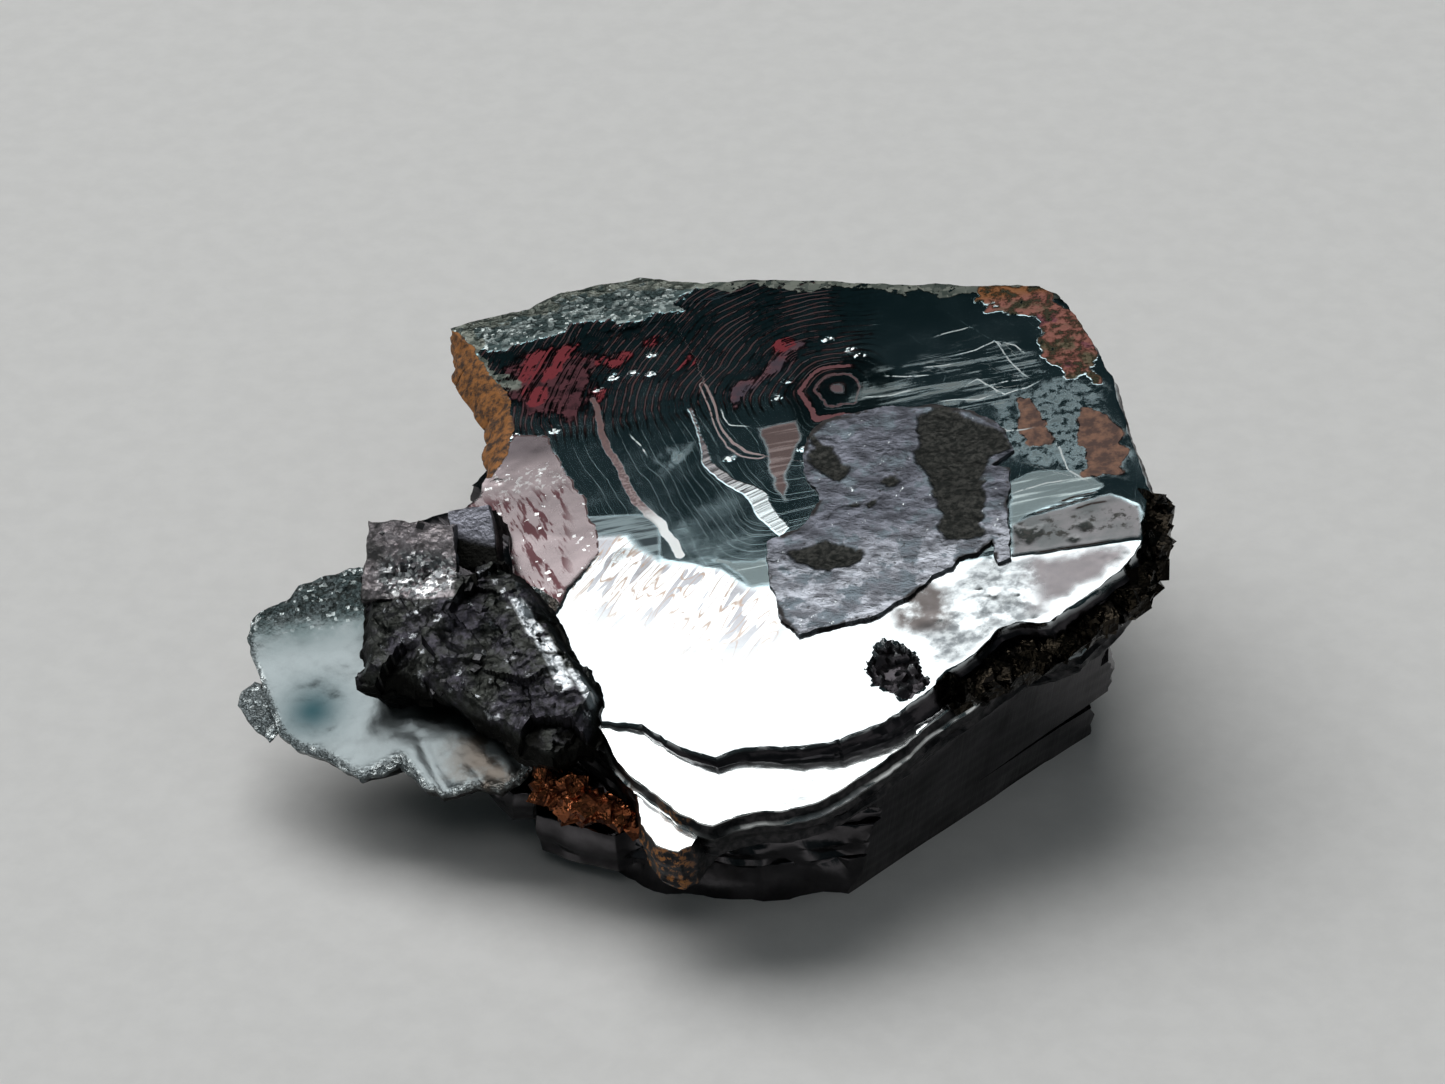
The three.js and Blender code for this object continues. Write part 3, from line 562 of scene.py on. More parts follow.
def rope(path, radius, sides=8):
    """(points, triangles) of a closed lumpy tube along a path."""
    along = np.gradient(path, axis=0)
    along /= np.linalg.norm(along, axis=1)[:, None]
    aside = np.cross(along, (0, 0, 1))
    aside /= np.linalg.norm(aside, axis=1)[:, None]
    above = np.cross(aside, along)
    angles = 2 * np.pi * np.arange(sides) / sides
    points = []
    for i, centre in enumerate(path):
        size = radius * (0.8 + 0.3 * math.sin(2.3 * i))
        for angle in angles:
            points.append(centre + size * (math.cos(angle) * aside[i] + math.sin(angle) * above[i]))
    points += [path[0], path[-1]]
    faces = []
    for i in range(len(path) - 1):
        for j in range(sides):
            a = i * sides + j
            b = i * sides + (j + 1) % sides
            faces += [(a, b, b + sides), (a, b + sides, a + sides)]
    last = (len(path) - 1) * sides
    for j in range(sides):
        faces.append((len(points) - 2, (j + 1) % sides, j))
        faces.append((len(points) - 1, last + j, last + (j + 1) % sides))
    return np.array(points), np.array(faces)


def new_mesh(name, *solids):
    """One mesh of one or more closed (points, triangles)."""
    mesh = bpy.data.meshes.new(name)
    start = 0
    points = []
    faces = []
    for some_points, some_faces in solids:
        points.append(some_points)
        faces.append(some_faces + start)
        start += len(some_points)
    mesh.from_pydata(np.vstack(points).tolist(), [], np.vstack(faces).tolist())
    mesh.validate()
    return mesh


def applied(holder):
    """The mesh of a temporary object with its modifiers applied; the object is deleted."""
    graph = bpy.context.evaluated_depsgraph_get()
    mesh = bpy.data.meshes.new_from_object(holder.evaluated_get(graph))
    old = holder.data
    bpy.data.objects.remove(holder)
    bpy.data.meshes.remove(old)
    return mesh


def holder_of(mesh):
    holder = bpy.data.objects.new(mesh.name + "_work", mesh)
    bpy.context.scene.collection.objects.link(holder)
    return holder


def combined(name, first, others, operation="UNION"):
    """Closed meshes joined into one solid, or all the others cut out of the first."""
    for other in others:
        base = holder_of(first)
        tool = holder_of(other)
        cut = base.modifiers.new("join", "BOOLEAN")
        cut.operation = operation
        cut.solver = "MANIFOLD"
        cut.object = tool
        first = applied(base)
        bpy.data.objects.remove(tool)
        bpy.data.meshes.remove(other)
    first.name = name
    if not first.polygons:
        raise RuntimeError(name + " is empty after its joins")
    return first


def above_ground(mesh):
    """A closed mesh without what would reach under the ground."""
    ground = plate(rectangle(30, 30), plane((0, 0, 0)), lambda u, v: 0 * u, [(9, 0, 1)],
                   spacing=6, chips=0, sway=0)
    return combined(mesh.name, mesh, [new_mesh("ground", ground)], "DIFFERENCE")


def vertices_of(mesh):
    flat = np.empty(3 * len(mesh.vertices))
    mesh.vertices.foreach_get("co", flat)
    return flat.reshape(-1, 3)


def record(mesh, name, *columns):
    """Stores three numbers for each vertex as an attribute that the materials read."""
    values = np.column_stack(np.broadcast_arrays(*columns)).astype(np.float32)
    mesh.attributes.new(name, "FLOAT_VECTOR", "POINT").data.foreach_set("vector", values.ravel())


def place(name, mesh, material, sharp=None):
    """Links a finished piece, riding on the rose, and gives it its material."""
    mesh.name = name
    mesh.materials.clear()
    mesh.materials.append(material)
    if sharp is None:
        mesh.shade_flat()
    else:
        mesh.shade_smooth()
        mesh.set_sharp_from_angle(angle=math.radians(sharp))
    piece = bpy.data.objects.new(name, mesh)
    bpy.context.scene.collection.objects.link(piece)
    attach(piece, BODY)
    return piece


# ------------------------------------------------------------------ relief of each crystal

def warped(u, v):
    """Coordinates with a slight wander, so that no drawn line is quite straight."""
    points = spots(u, v)
    return (u + 0.09 * rugged(points, 1.3, seed=3, octaves=3),
            v + 0.09 * rugged(points, 1.3, seed=12, octaves=3))


def growth_distance(u, v):
    """How far from the eye of the growth hillock each point is, counted along its sides."""
    total = 0
    for angle, speed in HILLOCK_SIDES:
        facing = math.radians(angle)
        reach = (u - EYE[0]) * math.cos(facing) + (v - EYE[1]) * math.sin(facing)
        total = total + np.maximum(speed * reach, 0) ** 16
    return total ** (1 / 16)


def face_masks(u, v):
    """Where the big face has each kind of surface, from 0 to 1."""
    points = spots(u, v)
    frayed = 0.22 * rugged(points, 0.9, seed=31, octaves=4, gain=0.6)

    def area(outlines, soft=0.25, fray=1.0):
        depths = [inside(u, v, outline) for outline in outlines]
        return smooth((np.max(depths, axis=0) + fray * frayed) / soft)

    specks = np.max([np.exp(-((u - at[0]) ** 2 + 2 * (v - at[1]) ** 2) / 0.05) for at in SPECKS], axis=0)
    return {
        "front": -beside(u, v, FRONT_LINE)[0],
        "kite": area([KITE], soft=0.12, fray=0.3),
        "terrace": area([LEFT_TERRACE], soft=0.2, fray=0.5),
        "corner": area([BACK_CORNER], soft=0.8, fray=1.6),
        "hammered": area([HAMMERED], soft=0.6),
        "silver": area(SILVER_AREAS, soft=0.15, fray=0.4),
        "haze": area(HAZE_AREAS, soft=0.8, fray=1.2),
        "red": area(RED_AREAS, soft=0.55, fray=1.8),
        "pink": area(PINK_AREAS, soft=1.1, fray=1.5),
        "orange": area([ORANGE_AREA], soft=0.5, fray=1.4),
        "brown": area(BROWN_AREAS, soft=0.15),
        "streaked": area(STREAKED_AREAS, soft=0.9, fray=1.4),
        "rim": smooth(0.5 + 1.3 * frayed - inside(u, v, FACE_OUTLINE), 0, 0.15) * smooth(v, 18.5, 19.5),
        "strip": area([RUST_STRIP], soft=0.1, fray=0.5),
        "pit": area([FRONT_PIT], soft=0.1, fray=0.9),
        "holes": area(KITE_HOLES, soft=0.08, fray=0.3),
        "specks": specks,
    }


def growth_steps(u, v, widths):
    """Height of the large growth steps, and of the front that leans further forward."""
    sizes, _ = settings()
    height = -math.tan(sizes.front_lean) * np.maximum(-beside(u, v, FRONT_LINE)[0], 0)
    away = growth_distance(u, v)
    for distance, width in zip((TERRACE_EDGE, GREAT_STEP, BAND_STEP, INNER_STEP, EYE_RING), widths):
        height = height + in_mm(sizes.growth_step) * smooth((distance - away) / width)
    return height


def face_relief(u, v):
    """Height of the big face over its plane."""
    sizes, _ = settings()
    points = spots(u, v)
    mask = face_masks(u, v)
    wu, wv = warped(u, v)
    height = growth_steps(wu, wv, STEP_WIDTHS) + 0.005 * rugged(points, 4.0, seed=1, octaves=3)
    kite_depth = np.clip(8.14 + 0.3 * (u - 9.39) - v, 0, 3)
    height = height - math.tan(sizes.kite_lean) * kite_depth * mask["kite"]
    terrace_depth = np.clip(-beside(u, v, LEFT_TERRACE[1:6])[0], 0, 4)
    height = height - math.tan(sizes.front_lean) * terrace_depth * mask["terrace"]
    # fine steps round the eye, where they are not smoothed away
    away = growth_distance(wu, wv)
    ringed = smooth(v, 14.5, 17) * smooth(noise(points, 2.6, seed=12), -0.3, 0.5)
    height = height + 0.0005 * ringed * terraces(2.2 * away + 0.4 * noise(points, 3, seed=5))
    for path, rise in SCARPS:
        height = height + scarp(wu, wv, path, height=rise, width=0.35)
    for path in KITE_LINES:
        height = height - scarp(u, v, path, height=0.008, width=0.1)
    height = height - 0.01 * mask["holes"]
    # uneven places
    hammered = mask["hammered"] * smooth(noise(points, 1.4, seed=44), -0.6, 0.2)
    height = height + 0.012 * hammered * rugged(points, 0.75, seed=41, octaves=4, gain=0.55)
    crusty, _ = faceted(points, 0.34, seed=51, lean=0.35)
    height = height + 0.12 * smooth(mask["corner"], 0.3, 0.8) * crusty + 0.08 * mask["specks"] * crusty
    height = height + 0.003 * mask["terrace"] * rugged(points, 0.8, seed=62, octaves=3)
    crystals, _ = faceted(points, 0.32, seed=71, lean=0.9)
    pit = in_mm(sizes.pit_depth)
    return height - mask["pit"] * (pit - 0.7 * crystals)


def flank_swell(u, v):
    """The rusty left flank of the big crystal bellies out under its edge."""
    return 0.85 * smooth(v, 14.3, 16.5) * smooth(-v, -23, -21) * smooth(-u, 6, 6.6)


def film_frays(u, v):
    """How far, in millimetres, the edges of the film and of its windows wander."""
    return 0.14 * rugged(spots(u, v), 0.7, seed=81, octaves=4, gain=0.6)


def film_windows(u, v):
    """Where each of the film's dark sunken windows is, from 0 to 1."""
    frayed = film_frays(u, v)
    return [smooth((inside(u, v, outline) + frayed) / 0.08) for outline in FILM_PITS]


def film_relief(u, v):
    """Height of the later film over the big face's plane, with its dark sunken windows."""
    sizes, _ = settings()
    points = spots(u, v)
    height = growth_steps(u, v, FILM_STEP_WIDTHS) + in_mm(sizes.film)
    height = height + 0.014 * rugged(points, 1.6, seed=82, octaves=4, gain=0.6)
    height = height + 0.008 * rugged(points, 0.3, seed=86, octaves=2)
    height = height + 0.02 * smooth(v, 6.5, 9.5) * smooth(noise(points, 1.2, seed=88), 0.1, 0.2)
    sunken = 0.045 + 0.008 * rugged(points, 0.25, seed=85, octaves=3, gain=0.7)
    for window in film_windows(u, v):
        height = height - window * sunken
    return height


def lip_relief(u, v):
    points = spots(u, v)
    lines = terraces((v - 0.35 * u) / 0.6 + 0.4 * noise(points, 2.2, seed=91), 0.2)
    ruled = 0.008 * smooth(noise(points, 2, seed=93), 0, 0.4) * lines
    return 0.01 * rugged(points, 3.2, seed=92, octaves=3) + ruled


def heel_relief(u, v):
    points = spots(u, v)
    return 0.02 * rugged(points, 1.6, seed=94, octaves=4)


def wing_relief(u, v):
    """The silvery plate: gently rolling, dimpled, with scallops and grains by its edges."""
    points = spots(u, v)
    depth = inside(u, v, WING_OUTLINE)
    height = 0.14 * noise(points, 3.1, seed=101) + 0.05 * noise(points, 1.3, seed=102)
    height = height + 0.018 * rugged(points, 0.5, seed=103, octaves=3, gain=0.6)
    reach = np.hypot(u - DIMPLE[0], v - DIMPLE[1])
    height = height - 0.12 * np.exp(-reach ** 2)
    height = height + 0.03 * np.exp(-((reach - 1.15) / 0.2) ** 2) * smooth(u, 0.4, 1.4)
    height = height - 0.05 * smooth(-depth, -0.3, 0)
    scallops = np.abs(np.sin(2.6 * (u + 0.5 * v) + 0.6 * noise(points, 1.2, seed=107)))
    height = height + 0.14 * smooth(-depth, -1.5, -0.2) * smooth(u, 2.6, 3.6) * scallops
    crusty, _ = faceted(points, 0.3, seed=104, lean=0.5)
    gritty = smooth(v + 0.4 * noise(points, 1.0, seed=105), 2.4, 3.4)
    return height + 0.4 * gritty * crusty


def block_relief(u, v):
    """Top of the granular block, over a plane at its rim: broken lumps round a shallow bowl."""
    points = spots(u, v)
    depth = inside(u, v, BLOCK_OUTLINE)
    large, _ = faceted(points, 1.5, seed=111, lean=0.5)
    small, _ = faceted(points, 0.5, seed=113, lean=0.5)
    dome = 0.3 * smooth(depth, 0, 1.6) - 0.2 - 0.45 * smooth(-depth, -0.35, 0)
    bowl = 0.3 * np.minimum((np.hypot(u - BOWL[0], v - BOWL[1]) / 0.9) ** 2, 1) - 0.3
    broken = 0.1 * rugged(points, 1.0, seed=114, octaves=4, gain=0.6)
    broken = broken + 0.03 * rugged(points, 0.25, seed=115, octaves=2)
    return dome + bowl + 0.6 * large + 0.28 * small + broken


def cube_relief(u, v):
    """Top of the blocky crystal, with a sparkling hollow in its lower half."""
    points = spots(u, v)
    small, _ = faceted(points, 0.24, seed=121, lean=0.9)
    hollow = np.exp(-((u - 0.3) ** 2 / 1.1 + (v + 0.5) ** 2 / 0.5))
    return 0.06 * rugged(points, 0.9, seed=122, octaves=3) - 0.35 * hollow + (0.1 + 0.9 * hollow) * small


def striated_relief(u, v):
    points = spots(u, v)
    return 0.02 * rugged(points, 1.0, seed=131, octaves=3) + 0.035 * terraces((u + 0.8 * v) / 0.16, 0.5)


def keel_relief(seed):
    def relief(u, v):
        points = spots(u, v)
        lines = terraces((u * 0.5 + v) / 0.9 + 0.4 * noise(points, 3, seed=seed), 0.15)
        ruled = 0.03 * smooth(noise(points, 3, seed=seed + 5)) * lines
        return 0.03 * rugged(points, 2.4, seed=seed, octaves=4) + ruled
    return relief


def facet_relief(u, v):
    """The large side facet, as its cutter's face: fine level steps and a few ledges."""
    points = spots(u, v)
    level = v + 0.25 * noise(points, 4, seed=141)
    fine = 0.02 * terraces(level / 0.45, 0.25)
    ledges = 0.06 * smooth(noise(points, 2.4, seed=143), 0.1, 0.3) * terraces(level / 1.3, 0.12)
    return 0.02 * rugged(points, 3, seed=145, octaves=3) + fine + ledges


# ------------------------------------------------------------------ node groups and materials

class Wires:
    """Adds nodes to one tree and wires them: a socket given as a value is linked."""

    def __init__(self, tree):
        self.tree = tree

    def feed(self, socket, value):
        if isinstance(value, bpy.types.NodeSocket):
            self.tree.links.new(value, socket)
        elif value is not None:
            if hasattr(socket.default_value, "__len__") and len(socket.default_value) == 4:
                value = (*value[:3], 1.0)
            socket.default_value = value

    def add(self, kind, inputs=None, **options):
        node = self.tree.nodes.new(kind)
        for name, value in options.items():
            setattr(node, name, value)
        for name, value in (inputs or {}).items():
            self.feed(node.inputs[name], value)
        return node

    def math(self, operation, *values, clamp=False):
        node = self.add("ShaderNodeMath", operation=operation, use_clamp=clamp)
        for socket, value in zip(node.inputs, values):
            self.feed(socket, value)
        return node.outputs[0]

    def between(self, value, low, high, to_low=0.0, to_high=1.0):
        node = self.add("ShaderNodeMapRange", {
            "Value": value, "From Min": low, "From Max": high, "To Min": to_low,
            "To Max": to_high}, interpolation_type="SMOOTHSTEP")
        return node.outputs["Result"]

    def band(self, value, middle, half, soft=0.03):
        """1 where a value is within half of the middle, falling to 0 over the next soft."""
        gap = self.math("ABSOLUTE", self.math("SUBTRACT", value, middle))
        return self.between(self.math("SUBTRACT", gap, half), soft, 0.0)

    def both(self, first, *others):
        """Several masks multiplied: 1 only where each of them is."""
        for other in others:
            first = self.math("MULTIPLY", first, other)
        return first

    def blend(self, factor, first, second):
        node = self.add("ShaderNodeMix", data_type="RGBA")
        self.feed(node.inputs["Factor"], factor)
        self.feed(node.inputs[6], first)
        self.feed(node.inputs[7], second)
        return node.outputs[2]

    def mix(self, factor, first, second):
        node = self.add("ShaderNodeMix", data_type="FLOAT")
        self.feed(node.inputs["Factor"], factor)
        self.feed(node.inputs[2], first)
        self.feed(node.inputs[3], second)
        return node.outputs[0]

    def noise(self, vector, scale, detail=3.0, roughness=0.55, **more):
        node = self.add("ShaderNodeTexNoise", {
            "Vector": vector, "Scale": scale, "Detail": detail, "Roughness": roughness}, **more)
        return node.outputs["Fac"]

    def cells(self, vector, scale, output):
        """Blocky cells: how far each point is from its cell's middle, or the cell's own colour."""
        node = self.add("ShaderNodeTexVoronoi", {"Vector": vector, "Scale": scale}, distance="CHEBYCHEV")
        return node.outputs[output]

    def mapped(self, vector, stretch=(1, 1, 1), turn=(0, 0, 0)):
        """The vector for a texture that is turned, and stretched along its own turned axes."""
        node = self.add("ShaderNodeMapping", {
            "Vector": vector, "Scale": stretch,
            "Rotation": tuple(math.radians(t) for t in turn)}, vector_type="TEXTURE")
        return node.outputs["Vector"]

    def parts(self, vector):
        return self.add("ShaderNodeSeparateXYZ", {"Vector": vector}).outputs

    def attribute(self, name):
        return self.add("ShaderNodeAttribute", attribute_name=name).outputs["Vector"]

    def bump(self, height, distance, strength=1.0, normal=None):
        """A normal bent by relief that stands distance millimetres high where the height is 1."""
        node = self.add("ShaderNodeBump", {
            "Height": height, "Distance": distance * MM, "Strength": strength, "Normal": normal})
        return node.outputs["Normal"]


class Layers:
    """A finish built up in layers: each is laid over the ones before it where its mask is 1."""

    def __init__(self, wires, tint, roughness, metallic=1.0):
        self.wires = wires
        self.tint = tint
        self.roughness = roughness
        self.metallic = metallic

    def lay(self, mask, tint=None, roughness=None, metallic=None):
        if tint is not None:
            self.tint = self.wires.blend(mask, self.tint, tint)
        if roughness is not None:
            self.roughness = self.wires.mix(mask, self.roughness, roughness)
        if metallic is not None:
            self.metallic = self.wires.mix(mask, self.metallic, metallic)

    def stain(self, mask, tint, roughness):
        """A dull stain on bright metal: its tint comes in before it dulls, so it has no pale rim."""
        self.lay(self.wires.between(mask, 0.0, 0.35), tint)
        dulled = self.wires.between(mask, 0.28, 0.75)
        self.lay(dulled, roughness=roughness)

    def feed(self, shader):
        self.wires.feed(shader.inputs["Base Color"], self.tint)
        self.wires.feed(shader.inputs["Roughness"], self.roughness)
        self.wires.feed(shader.inputs["Metallic"], self.metallic)


def node_group(name, inputs, outputs, kind="Shader"):
    """(group, wires, its input sockets) for a new node group."""
    tree = bpy.data.node_groups.new(name, kind + "NodeTree")
    for label, sort, default in inputs:
        socket = tree.interface.new_socket(label, in_out="INPUT", socket_type="NodeSocket" + sort)
        if default is not None:
            socket.default_value = default
    for label, sort in outputs:
        tree.interface.new_socket(label, in_out="OUTPUT", socket_type="NodeSocket" + sort)
    wires = Wires(tree)
    return tree, wires, wires.add("NodeGroupInput").outputs


def growth_lines(name):
    """Fine broken lines across a level, unevenly spaced: thin lines, and a height for each step."""
    tree, wires, given = node_group(name, [
        ("Level", "Float", 0.0), ("Wander", "Float", 0.0),
        ("Density", "Float", 20.0), ("Width", "Float", 0.1)],
        [("Height", "Float"), ("Line", "Float")])
    moved = wires.math("MULTIPLY_ADD", given["Level"], given["Density"], given["Wander"])
    step = wires.add("ShaderNodeTexVoronoi", {"W": moved, "Scale": 1.0}, voronoi_dimensions="1D")
    edge = wires.add("ShaderNodeTexVoronoi", {"W": moved, "Scale": 1.0}, voronoi_dimensions="1D",
                     feature="DISTANCE_TO_EDGE")
    out = wires.add("NodeGroupOutput")
    wires.feed(out.inputs["Height"], wires.parts(step.outputs["Color"])[0])
    wires.feed(out.inputs["Line"], wires.between(edge.outputs["Distance"], given["Width"], 0.0))
    return tree


def striations(name):
    """Fine straight ruling across a crystal face."""
    tree, wires, given = node_group(name, [
        ("Vector", "Vector", None), ("Turn", "Vector", None),
        ("Scale", "Float", 8.0)],
        [("Height", "Float")])
    turned = wires.add("ShaderNodeVectorRotate", {
        "Vector": given["Vector"], "Rotation": given["Turn"]}, rotation_type="EULER_XYZ")
    ruled = wires.mapped(turned.outputs["Vector"], stretch=(20, 1, 20))
    out = wires.add("NodeGroupOutput")
    wires.feed(out.inputs["Height"], wires.noise(ruled, given["Scale"], 5.0, 0.65))
    return tree


def sparkle(name):
    """Crowded tiny crystals: their height, and a random number for each."""
    tree, wires, given = node_group(name, [
        ("Vector", "Vector", None), ("Scale", "Float", 8.0)],
        [("Height", "Float"), ("Number", "Float")])
    coarse = wires.cells(given["Vector"], given["Scale"], "Distance")
    fine_scale = wires.math("MULTIPLY", given["Scale"], 2.7)
    fine = wires.cells(given["Vector"], fine_scale, "Distance")
    number = wires.cells(given["Vector"], given["Scale"], "Color")
    out = wires.add("NodeGroupOutput")
    wires.feed(out.inputs["Height"], wires.math("MULTIPLY_ADD", fine, 0.4, coarse))
    wires.feed(out.inputs["Number"], wires.parts(number)[0])
    return tree


def rust_bloom(name):
    """Powdery rust: a mottled colour and where it lies."""
    tree, wires, given = node_group(name, [
        ("Vector", "Vector", None), ("Amount", "Float", 0.5),
        ("Scale", "Float", 2.0), ("Colour", "Color", (0.5, 0.2, 0.05, 1)),
        ("Shade", "Color", (0.12, 0.04, 0.02, 1))],
        [("Color", "Color"), ("Mask", "Float")])
    cloud = wires.noise(given["Vector"], given["Scale"], 6.0, 0.65)
    lacks = wires.math("SUBTRACT", 1.0, given["Amount"])
    over = wires.math("SUBTRACT", wires.math("MULTIPLY_ADD", cloud, 0.7, 0.15), lacks)
    mottle = wires.noise(given["Vector"], wires.math("MULTIPLY", given["Scale"], 2.4), 5.0, 0.7)
    out = wires.add("NodeGroupOutput")
    wires.feed(out.inputs["Color"], wires.blend(wires.between(mottle, 0.36, 0.62),
                                                given["Shade"], given["Colour"]))
    wires.feed(out.inputs["Mask"], wires.between(over, -0.04, 0.08))
    return tree


def shared(build):
    """The node group that a function builds, built when it is first asked for."""
    name = build.__name__.replace("_", " ")
    return bpy.data.node_groups.get(name) or build(name)


def use(wires, build, **inputs):
    """Places a shared node group in a material and gives its outputs."""
    return wires.add("ShaderNodeGroup", inputs, node_tree=shared(build)).outputs


def new_material(name):
    """(material, wires, its principled shader) ready for its looks."""
    material = bpy.data.materials.new(name)
    material.use_nodes = True
    wires = Wires(material.node_tree)
    material.node_tree.nodes.clear()
    shader = wires.add("ShaderNodeBsdfPrincipled")
    out = wires.add("ShaderNodeOutputMaterial")
    wires.feed(out.inputs["Surface"], shader.outputs["BSDF"])
    return material, wires, shader


def in_millimetres(wires):
    """Object coordinates in millimetres."""
    place_here = wires.add("ShaderNodeTexCoord").outputs["Object"]
    return wires.mapped(place_here, stretch=(MM, MM, MM))


class BigFace(Wires):
    """The big face's node tree, with its places, masks, patterns and small crystals at hand."""

    def __init__(self, tree):
        super().__init__(tree)
        self.spot = self.attribute("spot")
        self.u, self.v, _ = self.parts(self.spot)
        self.away, self.front, self.kite_line = self.parts(self.attribute("growth"))
        self.slope, self.band_depth, self.pair = self.parts(self.attribute("steps"))
        self.scarp_gap, self.scarp_ends, self.specks = self.parts(self.attribute("scarps"))
        self.red, self.pink, self.brown = self.parts(self.attribute("stain"))
        # side is where the big crystal's sides get painted shade
        self.rusty, self.pit, self.side = self.parts(self.attribute("crust"))
        self.corner, self.hammered, self.haze = self.parts(self.attribute("wear"))
        self.kite, self.silver, self.terrace = self.parts(self.attribute("facets"))
        self.holes, self.orange, _ = self.parts(self.attribute("patches"))
        self.streaked, self.rim, _ = self.parts(self.attribute("streaked"))
        behind_front = self.between(self.front, 0.2, -0.2)
        self.on_face = self.both(behind_front, self.math("SUBTRACT", 1.0, self.side))
        self.cloud = self.noise(self.spot, 0.7, 5.0, 0.6)
        self.mottle = self.noise(self.spot, 2.6, 5.0, 0.65)
        self.fine = self.noise(self.spot, 9.0, 3.0, 0.6)
        smeared = self.mapped(self.spot, (6, 0.45, 5), (0, 0, 3))
        self.streaky = self.noise(smeared, 1.6, 5.0, 0.62)
        ruled = self.mapped(self.spot, (5, 0.3, 1), (0, 0, 25))
        self.across = self.noise(ruled, 1.5, 3.0, 0.6)
        self.grit = use(self, sparkle, Vector=self.spot, Scale=4.5)
        self.dust = use(self, sparkle, Vector=self.spot, Scale=9.0)


def clear_mirror(on):
    """The finish under all the others: a mirror, darker teal towards the back and round the eye, which is
    painted reflection of the dim room.
    """
    _, colours = settings()
    ahead = on.between(on.front, -0.1, 0.3)
    clear = on.blend(ahead, (0.32, 0.42, 0.45), tuple(colours.steel))
    # painted reflection: darker teal towards the back and round the eye, where the mirror faces the dim
    # room
    clear = on.blend(on.between(on.v, 16.5, 20.5), clear, (0.16, 0.26, 0.28))
    clear = on.blend(on.between(on.away, 1.9, 1.5), clear, (0.1, 0.15, 0.16))
    return Layers(on, clear, on.between(on.cloud, 0.3, 0.75, 0.04, 0.08))


def lay_growth_lines(on, finish):
    """Growth lines, thickest towards the back, and none in the clear panes; gives both kinds."""
    bend = on.noise(on.spot, 0.32, 1.0, 0.4)
    backward = on.between(on.v, 14.6, 17.4)
    broken = on.between(on.cloud, 0.36, 0.56)
    lines = use(on, growth_lines, Level=on.away, Wander=on.math("MULTIPLY", bend, 2.0),
                Density=3.8, Width=0.26)
    hairs = use(on, growth_lines, Level=on.away, Wander=on.math("MULTIPLY", bend, 5.0),
                Density=11.0, Width=0.2)
    warm = on.blend(on.between(on.mottle, 0.4, 0.6), (0.052, 0.026, 0.026), (0.036, 0.032, 0.035))
    zone = on.both(backward, on.on_face, on.between(on.u, 6.5, 3.5))
    finish.stain(on.both(lines["Line"], zone, on.math("MULTIPLY_ADD", broken, 0.8, 0.1)), warm, 0.33)
    thinned = on.between(on.mottle, 0.58, 0.42, 0.0, 0.8)
    finish.stain(on.both(hairs["Line"], zone, thinned), (0.026, 0.015, 0.017), 0.34)
    return lines, hairs


def lay_tarnish(on, finish, hairs):
    """Red, purple and dark tarnish between the lines."""
    _, colours = settings()
    streaks = on.between(on.math("MULTIPLY_ADD", hairs["Height"], 0.4, on.mottle), 0.46, 0.84)
    purple = on.blend(on.between(on.cloud, 0.4, 0.62), (0.085, 0.042, 0.048), (0.04, 0.034, 0.044))
    burgundy = on.blend(on.between(on.mottle, 0.35, 0.6), (0.02, 0.009, 0.011), tuple(colours.pink))
    tarnish = on.blend(on.between(on.u, -2.5, -3.6), purple, burgundy)
    tarnished = on.both(on.between(on.pink, 0.0, 0.8), on.on_face,
                        on.math("MULTIPLY_ADD", streaks, 0.7, 0.3))
    finish.stain(tarnished, tarnish, 0.34)
    finish.stain(on.both(on.red, on.on_face, streaks), tuple(colours.red), 0.36)
    finish.stain(on.both(on.between(on.v, 20, 22.5), on.on_face, on.between(on.streaky, 0.5, 0.72)),
                 (0.010, 0.018, 0.022), 0.35)


def lay_large_steps(on, finish):
    """The great step, pinkish and then bright, the band with its cross-striations, the thin pair
    and the rings of the eye; gives where the band is."""
    worn = on.math("MULTIPLY_ADD", on.mottle, 0.16, -0.08)
    half = on.between(on.v, 17.5, 9.0, 0.08, 0.15)
    great = on.both(on.band(on.math("ADD", on.slope, worn), 0.0, half, 0.04), on.on_face)
    slope_tint = on.blend(on.between(on.v, 16.2, 12.5), (0.125, 0.075, 0.07), (0.23, 0.19, 0.19))
    slope_tint = on.blend(on.between(on.fine, 0.35, 0.6), slope_tint, (0.1, 0.07, 0.07))
    slope_tint = on.blend(on.between(on.v, 12.0, 10.8), slope_tint, (0.5, 0.52, 0.52))
    finish.lay(great, slope_tint, 0.3)
    on_band = on.both(on.between(on.math("ADD", on.band_depth, worn), -0.04, 0.02), on.on_face)
    band_tint = on.blend(on.between(on.v, 14.8, 13.2), (0.12, 0.095, 0.095), (0.24, 0.235, 0.24))
    band_tint = on.blend(on.between(on.v, 12.9, 11.2), band_tint, (0.44, 0.49, 0.5))
    ruled = on.both(on.between(on.across, 0.5, 0.62), on.between(on.v, 10.6, 11.6))
    finish.lay(on_band, on.blend(ruled, band_tint, (0.09, 0.085, 0.09)), 0.27)
    double = on.math("MAXIMUM", on.band(on.pair, 0.0, 0.03), on.band(on.pair, -0.2, 0.015))
    finish.lay(on.both(double, on.on_face, on.between(on.mottle, 0.3, 0.45)), (0.2, 0.15, 0.145), 0.3)
    crescent = on.between(on.u, 5.1, 4.5)
    ring = on.math("ADD", on.away, on.math("MULTIPLY_ADD", on.mottle, 0.3, -0.15))
    finish.stain(on.both(on.band(ring, EYE_RING, 0.06, 0.06), on.on_face, crescent),
                 (0.10, 0.045, 0.048), 0.33)
    finish.lay(on.both(on.band(ring, 0.68, 0.015, 0.05), on.on_face), (0.07, 0.04, 0.042), 0.33)
    finish.lay(on.both(on.between(ring, 0.28, 0.12), on.on_face), (0.08, 0.055, 0.058), 0.33)
    return on_band


